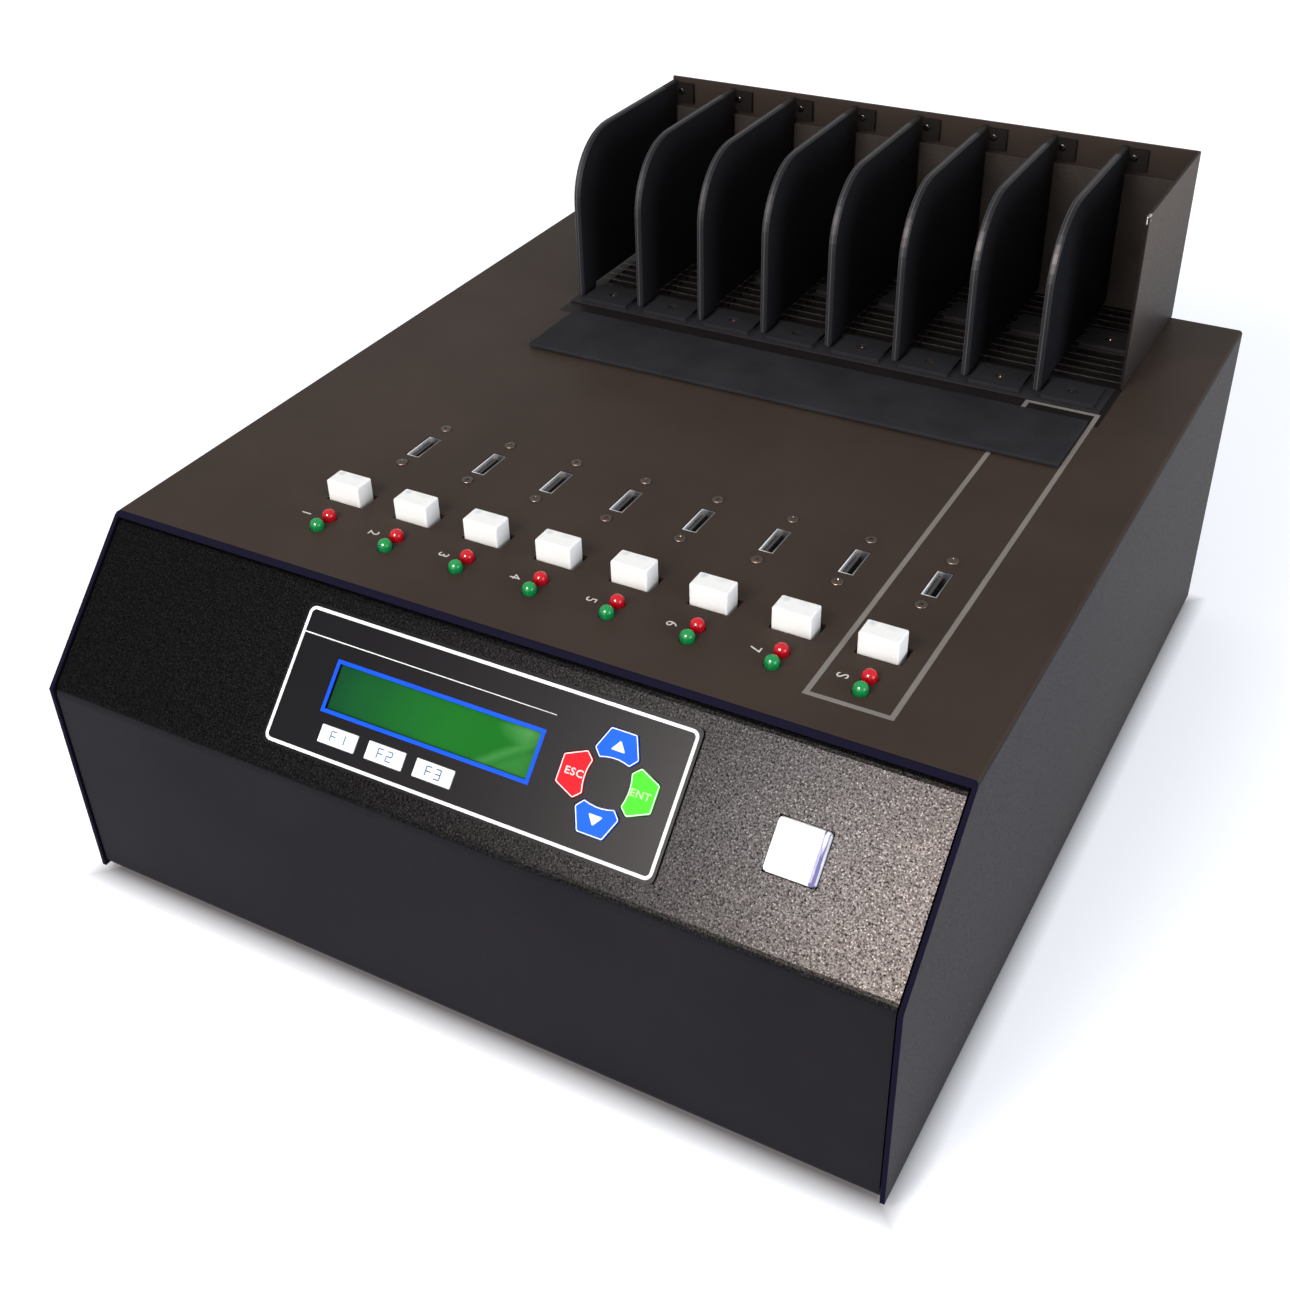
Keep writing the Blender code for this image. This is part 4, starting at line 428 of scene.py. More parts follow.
def plated_steel(name, tone, gloss=0.32):
    paint = Paint(name, Metallic=1.0)
    drawn = paint.noise(0.004, detail=4, place=paint.stretched(1.0, 0.08, 1.0))
    clouds = paint.noise(0.02)
    paint.set("Base Color", paint.mix(paint.spread(clouds, 0.35, 0.65), shaded(tone, 0.78), tone))
    paint.set("Roughness", paint.spread(drawn, 0.3, 0.7, gloss - 0.08, gloss + 0.1))
    paint.bump(drawn, 0.00001, 0.3)
    return paint


def moulded_plastic(name, tone, gloss):
    """Moulded plastic with a fine spark-eroded grain and faint flow marks."""
    paint = Paint(name)
    teeth = paint.noise(0.0006, detail=3)
    flow = paint.noise(0.012, detail=2, place=paint.stretched(1.0, 0.4, 1.0))
    paint.set("Base Color", paint.mix(paint.spread(flow, 0.35, 0.65), shaded(tone, 0.90), tone))
    paint.set("Roughness", paint.spread(teeth * 0.5 + flow * 0.5, 0.35, 0.65, gloss - 0.05, gloss + 0.06))
    paint.bump(teeth, 0.00002, 0.4)
    return paint


def rubber(name, tone, gloss, dust_share):
    """Matt rubber with paler dust settled in patches."""
    paint = Paint(name, Specular_IOR_Level=0.08)
    dust = paint.noise(0.007, detail=5, roughness=0.7)
    grain = paint.noise(0.0006, detail=3)
    share = paint.spread(dust, 0.45, 0.8, 0.0, dust_share)
    paint.set("Base Color", paint.mix(share + grain * 0.1, tone, shaded(tone, 2.2)))
    paint.set("Roughness", paint.spread(grain, 0.3, 0.7, gloss - 0.08, gloss + 0.06))
    paint.bump(grain, 0.00009, 0.6)
    return paint


def foam_skin(name, low, high):
    """Closed-cell foam: pin-prick cells over a cloudy dark tone."""
    paint = Paint(name, Specular_IOR_Level=0.05)
    cells = paint.cells(0.0005)
    clouds = paint.noise(0.02, detail=4)
    tone = paint.mix(paint.spread(clouds, 0.35, 0.7), low, high)
    paint.set("Base Color", paint.mix(paint.spread(cells, 0.1, 0.5, 0.45, 0.0), tone, ink(22, 22, 25)))
    paint.set("Roughness", paint.spread(clouds, 0.3, 0.7, 0.78, 0.92))
    paint.bump(cells, 0.00008, 0.6)
    return paint


def printed_film(name, tone, gloss=0.34, shine=0.008):
    """Polyester film with a fine embossed tooth."""
    paint = Paint(name, Specular_IOR_Level=shine)
    tooth = paint.noise(0.0004, detail=2)
    clouds = paint.noise(0.03)
    paint.set("Base Color", paint.mix(paint.spread(clouds, 0.4, 0.6), shaded(tone, 0.90), tone))
    paint.set("Roughness", paint.spread(tooth, 0.3, 0.7, gloss - 0.05, gloss + 0.06))
    paint.bump(tooth, 0.00001, 0.4)
    return paint


def milky_cap():
    """Milky cap: two faint grey patches on its top, where what lies below shows through."""
    paint = Paint("cap_white", Specular_IOR_Level=0.2)
    across = (paint.axis("X") - (COLUMN_FIRST_X + CAP_OFFSET_X)).past_nearest(COLUMN_PITCH)
    back = paint.axis("Y") - (CAP_MIDDLE_Y + PATCH_BACK)
    near_left = ((across + PATCH_LEFT) ** 2 + back ** 2) ** 0.5
    near_right = ((across - PATCH_RIGHT) ** 2 * 0.35 + back ** 2) ** 0.5
    flow = paint.noise(0.0012, detail=3)
    patch = paint.spread(near_left + flow * 0.0012, 0.0008, 0.0024, 0.75, 0.0)
    patch = patch.most(paint.spread(near_right + flow * 0.0010, 0.0006, 0.0022, 0.30, 0.0))
    patch = patch * (paint.axis("Z") > CAP_TOP - EDGE_DEPTH) * paint.spread(flow, 0.35, 0.6, 0.35, 1.0)
    foot = paint.spread(paint.axis("Z"), TOP, TOP + CAP_FOOT, 0.35, 0.0)
    milk = paint.mix(foot, paint.mix(flow, ink(236, 235, 233), ink(243, 243, 241)), ink(196, 190, 184))
    paint.set("Base Color", paint.mix(patch, milk, ink(176, 186, 192)))
    paint.set("Roughness", paint.spread(flow, 0.3, 0.7, 0.30, 0.42))
    paint.bump(flow, 0.00001, 0.3)
    return paint


def lit_cap():
    """Square cap: white face with a clear rim that shows mauve streaks at its right side."""
    low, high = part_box("power_button")
    half = (high.x - low.x) / 2
    paint = Paint("power_cap_white", Specular_IOR_Level=0.06)
    across = (paint.axis("X") - (low.x + half)) / half
    streak = paint.noise(0.006, detail=2, place=paint.stretched(3.0, 0.5, 0.5))
    rim = paint.spread(across + streak * 0.08, 0.77, 0.80) * paint.spread(streak, 0.54, 0.66, 1.0, 0.2)
    rim *= paint.spread(across, 0.96, 0.98, 1.0, 0.3)
    paint.set("Base Color", paint.mix(rim, ink(247, 247, 247), ink(108, 104, 148)))
    paint.set("Roughness", paint.spread(streak, 0.3, 0.7, 0.14, 0.26))
    paint.bump(streak, 0.00001, 0.2)
    return paint


def circuit_mask():
    paint = Paint("circuit_mask")
    tracks = paint.cells(0.004, "DISTANCE_TO_EDGE", 0.6)
    paint.set("Base Color", paint.mix(paint.spread(tracks, 0.02, 0.06), ink(20, 92, 48), ink(12, 62, 34)))
    paint.set("Roughness", paint.spread(tracks, 0.0, 0.3, 0.3, 0.45))
    paint.bump(tracks < 0.05, 0.00003, 0.5)
    return paint


def lamp_epoxy(name, deep, bright):
    """Tinted epoxy dome, painted a little paler towards its crown as light."""
    paint = Paint(name, Specular_IOR_Level=0.3)
    swirl = paint.noise(0.0016, detail=2)
    crown = paint.spread(paint.axis("Z"), TOP, LAMP_TOP)
    # Painted light: the dome is paler towards its crown.
    paint.set("Base Color", paint.mix(crown * 0.75 + swirl * 0.25, deep, bright))
    paint.set("Roughness", paint.spread(swirl, 0.3, 0.7, 0.10, 0.16))
    paint.bump(swirl, 0.00001, 0.2)
    return paint


def display_film():
    """Green display, brighter to the right with painted shade to its left, and a painted reflection at that
    end: a bowed pale streak and a pale patch.
    """
    paint = Paint("display_film", Specular_IOR_Level=0.008)
    across = paint.spread(paint.axis("X"), WINDOW_LEFT, WINDOW_RIGHT)
    up = paint.spread(paint.axis("Z"), slope_height(WINDOW_LOW), slope_height(WINDOW_HIGH))
    clouds = paint.noise(0.014, detail=3)
    # Painted shade: the green darkens to the left, as in the shade of the recessed frame.
    light = paint.ramp(
        across * 0.85 + clouds * 0.2,
        (0.0, ink(16, 56, 37)),
        (0.2, ink(22, 79, 40)),
        (0.6, ink(27, 102, 35)),
        (1.0, ink(22, 100, 26)),
    )
    # Painted reflection: a bowed pale streak and a pale patch at the right end.
    bow = up - 0.10 - (across - 0.78) * 3.4 + clouds * 0.1
    glare_streak = paint.spread(abs(bow), 0.02, 0.16, 0.16, 0.0) + paint.spread(bow, -0.3, 0.0, 0.10, 0.0)
    glare_patch = paint.spread(abs(across - 0.94) * 3.5 + abs(up - 0.86) + clouds * 0.4, 0.2, 0.75, 0.32, 0.0)
    painted_glare = (glare_streak * (across > 0.70)).most(glare_patch)
    paint.set("Base Color", paint.mix(painted_glare, light, ink(120, 190, 120)))
    paint.set("Roughness", paint.spread(clouds, 0.3, 0.7, 0.30, 0.36))
    paint.bump(clouds, 0.00002, 0.2)
    return paint


def socket_metal():
    """Nickel shell with painted light, brightest along its left side, with a black tongue standing in its
    cavity.
    """
    paint = Paint("socket_metal")
    across = (paint.axis("X") - COLUMN_FIRST_X).past_nearest(COLUMN_PITCH)
    along = paint.axis("Y") - PORT_Y
    tongue = (across > TONGUE_LEFT) * (across < TONGUE_RIGHT)
    tongue *= (abs(along) < TONGUE_HALF) * (paint.axis("Z") < TOP - SHEET_HALF)
    wear = paint.noise(0.0015, detail=3)
    # Painted light: the shell is brightest at its left side and front end, dimmer to the right and rear.
    near = paint.spread(across * 1.4 + along * 0.35 + wear * 0.001, -0.0032, 0.0030, 1.0, 0.0)
    metal = paint.mix(near, ink(92, 92, 96), ink(228, 228, 230))
    paint.set("Base Color", paint.mix(tongue, metal, ink(14, 14, 16)))
    paint.set("Metallic", (1 - tongue) * 0.55)
    paint.set("Roughness", paint.spread(wear, 0.3, 0.7, 0.24, 0.40) + tongue * 0.25)
    paint.bump(wear, 0.00001, 0.3)
    return paint


def slope_height(up):
    """How high a point of the slope stands, this far up it."""
    return BASE + FRONT_HEIGHT + up * math.sin(SLOPE_ANGLE)


CASE_COAT = cover_coat()
RACK_COAT = rack_coat()
PLATE_COAT = divider_coat()
PEBBLED = pebbled_paint()
ZINC = plated_steel("zinc_plate", ink(186, 188, 192))
BRONZE = plated_steel("screw_bronze", ink(78, 70, 65), 0.42)
BLACK_STEEL = plated_steel("screw_black", ink(46, 44, 44), 0.26)
BLACK_PLASTIC = moulded_plastic("black_plastic", ink(30, 30, 32), 0.45)
CAP_WHITE = milky_cap()
POWER_WHITE = lit_cap()
RUBBER = rubber("black_rubber", ink(30, 30, 33), 0.72, 0.22)
MAT_FOAM = foam_skin("mat_foam", ink(33, 33, 37), ink(43, 44, 48))
WALL_FOAM = foam_skin("wall_foam", ink(57, 51, 48), ink(73, 66, 61))
FILM_BLACK = printed_film("film_black", ink(15, 15, 18), 0.33, 0.050)
FILM_WHITE = printed_film("film_white", ink(236, 239, 246))
FILM_BLUE = printed_film("film_blue", ink(34, 98, 224))
FILM_RED = printed_film("film_red", ink(236, 38, 48))
FILM_GREEN = printed_film("film_green", ink(82, 226, 56))
INK_WHITE = printed_film("ink_white", ink(240, 240, 240))
INK_BLUE = printed_film("ink_blue", ink(28, 86, 236))
INK_SLATE = printed_film("ink_slate", ink(56, 84, 136))
INK_ROSE = printed_film("ink_rose", ink(255, 214, 212))
INK_MINT = printed_film("ink_mint", ink(196, 252, 170))
INK_GREY = printed_film("ink_grey", ink(130, 124, 119))
INK_PALE = printed_film("ink_pale", ink(208, 204, 202))
DISPLAY = display_film()
CIRCUIT = circuit_mask()
SOCKET_METAL = socket_metal()
LAMP_RED = lamp_epoxy("lamp_red", ink(128, 4, 16), ink(206, 14, 30))
LAMP_GREEN = lamp_epoxy("lamp_green", ink(4, 84, 42), ink(14, 146, 72))


def numbered(stem):
    return [f"{stem}_{index + 1}" for index in range(COLUMN_COUNT)]


def finish_nodes(paint, *names):
    for name in names:
        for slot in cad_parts[name].material_slots:
            slot.material = paint.material


finish_nodes(CASE_COAT, "wrap_cover", "rear_panel")
finish_nodes(RACK_COAT, "rack_frame")
finish_nodes(PLATE_COAT, *numbered("divider"))
finish_nodes(PEBBLED, "front_bezel")
finish_nodes(ZINC, "base_pan", "fan_guard", "power_supply")
finish_nodes(BLACK_PLASTIC, "power_switch_body", "fan_frame", "fan_rotor", "power_inlet", "rocker_switch")
finish_nodes(CAP_WHITE, *numbered("drive_button"))
finish_nodes(POWER_WHITE, "power_button")
finish_nodes(RUBBER, "front_pads", "rear_pads")
finish_nodes(RUBBER, "foot_front_left", "foot_front_right", "foot_rear_left", "foot_rear_right")
finish_nodes(WALL_FOAM, "back_pad")
finish_nodes(MAT_FOAM, "rest_mat")
finish_nodes(FILM_BLACK, "control_overlay")
finish_nodes(FILM_WHITE, "key_f1", "key_f2", "key_f3")
finish_nodes(FILM_BLUE, "key_up", "key_down")
finish_nodes(FILM_RED, "key_esc")
finish_nodes(FILM_GREEN, "key_enter")
finish_nodes(DISPLAY, "display_module")
finish_nodes(CIRCUIT, "switch_board", "key_board", "main_board")
finish_nodes(SOCKET_METAL, *numbered("port"))


# Modelling helpers

def only(piece):
    """Selects this piece and nothing else."""
    bpy.ops.object.select_all(action="DESELECT")
    piece.select_set(True)
    bpy.context.view_layer.objects.active = piece


def settle(piece):
    """Moves the piece's place, turn and scale into its mesh."""
    only(piece)
    bpy.ops.object.transform_apply(location=True, rotation=True, scale=True)
    return piece


def added(size=(1, 1, 1)):
    """The piece just added, brought to its size and settled."""
    piece = bpy.context.object
    piece.scale = size
    return settle(piece)


def start_editing(piece):
    only(piece)
    bpy.ops.object.mode_set(mode="EDIT")


def stop_editing():
    bpy.ops.object.mode_set(mode="OBJECT")


def pick(piece, kind, test=lambda item: True):
    """In edit mode, selects just the corners, edges or faces that pass the test."""
    bpy.ops.mesh.select_mode(type=kind)
    bpy.ops.mesh.select_all(action="DESELECT")
    mesh = bmesh.from_edit_mesh(piece.data)
    for item in {"VERT": mesh.verts, "EDGE": mesh.edges, "FACE": mesh.faces}[kind]:
        item.select_set(test(item))
    mesh.select_flush_mode()
    bmesh.update_edit_mesh(piece.data)


def modified(piece, kind, **settings):
    """Gives the piece a modifier of this type with these settings, and applies it."""
    only(piece)
    modifier = piece.modifiers.new(kind.lower(), kind)
    for setting, value in settings.items():
        setattr(modifier, setting, value)
    bpy.ops.object.modifier_apply(modifier=modifier.name)
    return piece


def joined(parts):
    """All the parts as one piece, the first of them."""
    only(parts[0])
    for part in parts:
        part.select_set(True)
    bpy.ops.object.join()
    return parts[0]


def finished(piece, name, paint, body="case", smooth=35):
    """Names, smooths and paints a piece, and puts it on its body."""
    settle(piece)
    piece.name = piece.data.name = name
    piece.data.materials.clear()
    piece.data.materials.append(paint.material)
    bpy.ops.object.shade_smooth_by_angle(angle=math.radians(smooth))
    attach(piece, body)
    return piece


def twin(piece, place):
    """A copy with its own mesh, moved by a matrix that goes into the mesh."""
    copy = piece.copy()
    copy.data = piece.data.copy()
    bpy.context.scene.collection.objects.link(copy)
    copy.data.transform(place)
    return copy


def discard(piece):
    bpy.data.objects.remove(piece)


def column_x(index):
    return COLUMN_FIRST_X + COLUMN_PITCH * index


# Lamps: a straight barrel with a round crown

def lamp_dome():
    height = LAMP_TOP - TOP + LAMP_SINK
    bpy.ops.mesh.primitive_cylinder_add(
        vertices=32, radius=LAMP_RADIUS, depth=height, location=(0, 0, LAMP_TOP - height / 2)
    )
    dome = added()
    start_editing(dome)
    pick(dome, "EDGE", lambda edge: all(corner.co.z > LAMP_TOP - FACE_SKIN for corner in edge.verts))
    bpy.ops.mesh.bevel(offset=LAMP_RADIUS * 0.98, segments=9, profile=0.5, affect="EDGES")
    stop_editing()
    return dome


def make_lamps():
    dome = lamp_dome()
    for index in range(COLUMN_COUNT):
        for colour, y, paint in (("red", LAMP_RED_Y, LAMP_RED), ("green", LAMP_GREEN_Y, LAMP_GREEN)):
            lamp = twin(dome, Matrix.Translation((column_x(index) + LAMP_OFFSET_X, y, 0)))
            finished(lamp, f"lamp_{colour}_{index + 1}", paint, smooth=60)
    discard(dome)


# Screws: a rounded head with a cross recess

def screw_head(radius, height, rounding):
    """A head that stands on z = 0 about the origin."""
    reach, slot, taper = radius * 1.24, radius * 0.24, 0.62
    bpy.ops.mesh.primitive_cylinder_add(vertices=28, radius=radius, depth=height, location=(0, 0, height / 2))
    head = added()
    start_editing(head)
    pick(head, "EDGE", lambda edge: all(corner.co.z > height * 0.9 for corner in edge.verts))
    bpy.ops.mesh.bevel(offset=rounding, segments=4, profile=0.5, affect="EDGES")
    stop_editing()
    bpy.ops.mesh.primitive_cube_add(size=1, location=(0, 0, height))
    cross = added((reach, slot, height))
    start_editing(cross)
    pick(cross, "FACE")
    bpy.ops.mesh.duplicate()
    bpy.ops.transform.rotate(value=math.pi / 2, orient_axis="Z", center_override=(0, 0, height))
    pick(cross, "VERT", lambda corner: corner.co.z < height)
    bpy.ops.transform.resize(value=(taper, taper, 1.0), center_override=(0, 0, height))
    stop_editing()
    modified(head, "BOOLEAN", operation="DIFFERENCE", solver="EXACT", use_self=True, object=cross)
    discard(cross)
    return head


def set_screws(head, name, places, paint=None):
    """Copies a screw head to each place, each turned a little further than the last."""
    for number, place in enumerate(places, start=1):
        turned = place @ Matrix.Rotation(TURN_PER_SCREW * number, 4, "Z")
        finished(twin(head, turned), f"{name}_{number}", paint or BRONZE)
    discard(head)


def make_screws():
    columns = range(COLUMN_COUNT)
    head = screw_head(radius=0.00225, height=0.0006, rounding=0.0004)
    across = [column_x(index) + SOCKET_SCREW_SHIFT for index in columns]
    spots = [(x, FRONT + y, TOP - FACE_SKIN) for y in SOCKET_SCREWS_Y for x in across]
    set_screws(head, "socket_screw", map(Matrix.Translation, spots))

    head = screw_head(radius=0.0015, height=0.0008, rounding=0.0005)
    to_front = Matrix.Rotation(math.pi / 2, 4, "X")
    spots = [(x, REAR - BACK_WALL_SETBACK, TOP + DIVIDER_SCREW_RISE) for x in DIVIDER_SCREWS_X]
    set_screws(head, "divider_screw", [Matrix.Translation(spot) @ to_front for spot in spots], BLACK_STEEL)

    head = screw_head(radius=0.0019, height=0.0009, rounding=0.0004)
    across = [PAD_SCREW_FIRST_X + PAD_SCREW_PITCH * index for index in columns]
    spots = [(x, FRONT + y, TOP + PAD_RISE) for y in PAD_SCREWS_Y for x in across]
    set_screws(head, "pad_screw", map(Matrix.Translation, spots))

    head = screw_head(radius=0.0030, height=0.0018, rounding=0.0010)
    to_rear = Matrix.Rotation(-math.pi / 2, 4, "X")
    corners = ((-1, -1), (1, -1), (1, 1), (-1, 1))
    spots = [
        (FAN_X + FAN_SCREW_HALF * x, REAR + FAN_EAR_FACE, FAN_Z + FAN_SCREW_HALF * z)
        for x, z in corners
    ]
    set_screws(head, "fan_screw", [Matrix.Translation(spot) @ to_rear for spot in spots])

    head = screw_head(radius=0.0028, height=0.0016, rounding=0.0009)
    spots = [(x, REAR - FACE_SKIN, z) for x in COVER_SCREWS_X for z in COVER_SCREWS_Z]
    set_screws(head, "cover_screw", [Matrix.Translation(spot) @ to_rear for spot in spots])


# Printing

def thickened(flat):
    """Gives flat ink its thickness, sunk a little into what it lies on."""
    modified(flat, "SOLIDIFY", thickness=INK + INK_SINK, offset=1.0, use_even_offset=True)
    flat.data.transform(Matrix.Translation((0, 0, -INK_SINK)))
    return flat


def open_middle(flat, line):
    """Leaves only a line of this width round the edge of a flat shape."""
    pick(flat, "FACE")
    bpy.ops.mesh.inset(thickness=line, use_even_offset=True)
    bpy.ops.mesh.delete(type="FACE")


def printed_frame(width, depth, line, corner=0.0):
    """A flat frame of ink about the origin, open in the middle."""
    bpy.ops.mesh.primitive_plane_add(size=1)
    flat = added((width, depth, 1))
    start_editing(flat)
    if corner:
        pick(flat, "VERT")
        bpy.ops.mesh.bevel(offset=corner, segments=8, affect="VERTICES")
    open_middle(flat, line)
    stop_editing()
    return thickened(flat)


def printed_rule(width, line):
    """A straight line of ink that thins out at its right end."""
    bpy.ops.mesh.primitive_plane_add(size=1)
    flat = added((width, line, 1))
    start_editing(flat)
    pick(flat, "VERT", lambda corner: corner.co.x > 0)
    bpy.ops.transform.resize(value=(1.0, 0.5, 1.0), center_override=(width / 2, 0, 0))
    stop_editing()
    return thickened(flat)


def printed_word(text, height, bold=0.0, stretch=1.0):
    """Plain lettering about the origin, its capitals this high."""
    bpy.ops.object.text_add(location=(0, 0, 0))
    word = bpy.context.object
    word.data.body = text
    word.data.size = height / CAPITAL_SHARE
    word.data.offset = bold
    word.data.extrude = (INK + INK_SINK) / 2
    word.data.space_character = LETTER_SPACING
    word.data.resolution_u = LETTER_STEPS
    only(word)
    bpy.ops.object.convert(target="MESH")
    word = bpy.context.object
    across = [corner.co.x for corner in word.data.vertices]
    along = [corner.co.y for corner in word.data.vertices]
    middle = ((min(across) + max(across)) / 2, (min(along) + max(along)) / 2)
    centred = Matrix.Translation((-middle[0], -middle[1], (INK - INK_SINK) / 2))
    word.data.transform(Matrix.Diagonal((stretch, 1, 1, 1)) @ centred)
    return word


def segment_word(text):
    """Thin strokes of a segment display about the origin, joined as one piece of ink."""
    step, tall, line = 0.0020, 0.0032, 0.00038
    letter_pitch, length_share, height_share = 1.75, 0.95, 0.97
    drawn = {
        "F": ("left low", "left high", "top", "middle"),
        "1": ("right low", "right high"),
        "2": ("top", "right high", "middle", "left low", "foot"),
        "3": ("top", "right high", "middle", "right low", "foot"),
    }
    spots = {
        "top": (0, tall / 2, step, line),
        "middle": (0, 0, step, line),
        "foot": (0, -tall / 2, step, line),
        "left high": (-step / 2, tall / 4, line, tall / 2),
        "left low": (-step / 2, -tall / 4, line, tall / 2),
        "right high": (step / 2, tall / 4, line, tall / 2),
        "right low": (step / 2, -tall / 4, line, tall / 2),
    }
    strokes = []
    for column, letter in enumerate(text):
        aside = (column - 0.5) * step * letter_pitch
        for part in drawn[letter]:
            x, y, wide, high = spots[part]
            bpy.ops.mesh.primitive_plane_add(size=1, location=(x + aside, y, 0))
            strokes.append(added((wide * length_share, high * height_share, 1)))
    return thickened(joined(strokes))


def printed_arrow(width, height):
    """A solid triangle with blunted corners, pointing along +y."""
    bpy.ops.mesh.primitive_circle_add(vertices=3, radius=1, fill_type="NGON")
    arrow = added((width / math.sqrt(3), height / 1.5, 1))
    arrow.data.transform(Matrix.Translation((0, -height / 6, 0)))
    start_editing(arrow)
    pick(arrow, "VERT")
    bpy.ops.mesh.bevel(offset=0.0005, segments=3, affect="VERTICES")
    stop_editing()
    return thickened(arrow)


def on_plate(flat, x, y, turn=0.0):
    """Lays ink, made about the origin, on the top plate."""
    flat.data.transform(Matrix.Translation((x, FRONT + y, TOP)) @ Matrix.Rotation(turn, 4, "Z"))
    return flat


def on_slope(flat, x, y, height, turn=0.0):
    """Lays ink, made about the origin, on the control panel at this height above the slope."""
    flat.data.transform(SLOPE_PLACE @ Matrix.Translation((x, y, height)) @ Matrix.Rotation(turn, 4, "Z"))
    return flat


def make_plate_printing():
    for number, (text, x, y) in enumerate(MARKS, start=1):
        mark = on_plate(printed_word(text, MARK_HEIGHT), x, y, -math.pi / 2)
        finished(mark, f"column_mark_{number}", INK_PALE)
    outline = on_plate(printed_frame(width=0.0292, depth=0.2070, line=0.0018), x=0.1143, y=0.1655)
    finished(outline, "last_column_outline", INK_GREY)


def key_rim(node, line):
    """A ring of ink, its line this wide, just inside the edge of a key's top face."""
    rim = bpy.data.objects.new(f"rim_{node}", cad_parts[node].data.copy())
    bpy.context.scene.collection.objects.link(rim)
    rim.data.transform(SLOPE_PLACE.inverted())
    start_editing(rim)
    pick(rim, "VERT")
    bpy.ops.mesh.remove_doubles(threshold=SAME_CORNER)
    pick(rim, "FACE", lambda face: face.calc_center_median().z < KEY_FACE - SAME_FACE)
    bpy.ops.mesh.delete(type="FACE")
    pick(rim, "FACE")
    bpy.ops.mesh.dissolve_faces()
    bpy.ops.mesh.inset(thickness=RIM_INSET, use_even_offset=True)
    bpy.ops.mesh.select_all(action="INVERT")
    bpy.ops.mesh.delete(type="FACE")
    open_middle(rim, line)
    stop_editing()
    thickened(rim).data.transform(SLOPE_PLACE)
    return finished(rim, f"rim_{node}", INK_WHITE, node)


def make_panel_printing():
    border = printed_frame(width=0.1452, depth=0.0467, line=0.0011, corner=0.0026)
    on_slope(border, x=0.0051, y=0.03355, height=FILM_FACE)
    finished(border, "panel_border", INK_WHITE)
    rule = printed_rule(width=0.0985, line=0.0004)
    on_slope(rule, x=-0.0182, y=0.0479, height=FILM_FACE)
    finished(rule, "panel_rule", INK_WHITE)
    window = printed_frame(width=0.0798, depth=0.0178, line=0.0013)
    on_slope(window, x=-0.01045, y=0.0337, height=FILM_FACE)
    finished(window, "display_border", INK_BLUE)
    for number, left in enumerate(SOFT_KEYS_LEFT, start=1):
        word = on_slope(segment_word(f"F{number}"), left + SOFT_KEY_HALF, SOFT_KEY_Y, KEY_FACE)
        finished(word, f"legend_f{number}", INK_SLATE, f"key_f{number}")
    for node in ("key_up", "key_esc", "key_down", "key_enter"):
        key_rim(node, RIM_LINE)
    for name, way, turn in (("up", 1, 0.0), ("down", -1, math.pi)):
        arrow = printed_arrow(width=0.0050, height=0.0034)
        on_slope(arrow, RING_X, RING_Y + ARROW_REACH * way, KEY_FACE, turn)
        finished(arrow, f"arrow_{name}", INK_WHITE, f"key_{name}")
    word = printed_word("ESC", height=0.0024, bold=0.00006, stretch=1.12)
    on_slope(word, RING_X - ESCAPE_REACH, RING_Y, KEY_FACE)
    finished(word, "legend_escape", INK_ROSE, "key_esc")
    word = printed_word("ENT", height=0.0024, bold=0.00005, stretch=1.06)
    on_slope(word, RING_X + ENTER_REACH, RING_Y, KEY_FACE)
    finished(word, "legend_enter", INK_MINT, "key_enter")


# Strip that the front pads stand on

def make_pad_strip():
    """A thin black strip under the front pads, from just ahead of them back to the vent slots."""
    front, back = REAR - STRIP_SETBACK, REAR - LINER_SETBACK
    right = RACK_RIGHT - STRIP_SHORT
    middle = ((RACK_LEFT + right) / 2, (front + back) / 2, TOP + STRIP_HEIGHT / 2)
    bpy.ops.mesh.primitive_cube_add(size=1, location=middle)
    strip = added((right - RACK_LEFT, back - front, STRIP_HEIGHT))
    start_editing(strip)
    pick(strip, "FACE")
    bpy.ops.mesh.bevel(offset=STRIP_ROUNDING, segments=2, affect="EDGES")
    stop_editing()
    finished(strip, "pad_strip", RUBBER)


# Fan guard

def stamped(flat, depth, low=0.0):
    """Gives a flat outline the depth of sheet metal from this height up, with rounded edges."""
    modified(flat, "SOLIDIFY", thickness=depth, offset=1.0, use_even_offset=True)
    modified(flat, "BEVEL", width=GUARD_ROUNDING, segments=2, limit_method="ANGLE")
    flat.data.transform(Matrix.Translation((0, 0, low)))
    return flat


def guard_bars(sheet):
    """The guard's middle disc and the rings round it, flat about the origin."""
    bpy.ops.mesh.primitive_circle_add(vertices=64, radius=GUARD_HUB, fill_type="NGON")
    bars = [stamped(added(), sheet)]
    for number in range(GUARD_BARS):
        inner = GUARD_HUB + GUARD_GAP + GUARD_PITCH * number
        outer = GUARD_RADIUS if number == GUARD_BARS - 1 else inner + GUARD_PITCH - GUARD_GAP
        bpy.ops.mesh.primitive_circle_add(vertices=96, radius=outer, fill_type="NGON")
        bar = added()
        start_editing(bar)
        open_middle(bar, outer - inner)
        stop_editing()
        bars.append(stamped(bar, sheet))
    return bars


def guard_spoke(sheet, turn):
    """A bar from the disc to the outer ring, a little thinner than the rings."""
    middle_x = (GUARD_HUB + GUARD_RADIUS) / 2 - SPOKE_SHIFT
    bpy.ops.mesh.primitive_plane_add(size=1, location=(middle_x, 0, 0))
    spoke = added((GUARD_RADIUS - GUARD_HUB, SPOKE_WIDTH, 1))
    stamped(spoke, sheet - 2 * SPOKE_SINK, SPOKE_SINK)
    spoke.data.transform(Matrix.Rotation(turn, 4, "Z"))
    return spoke


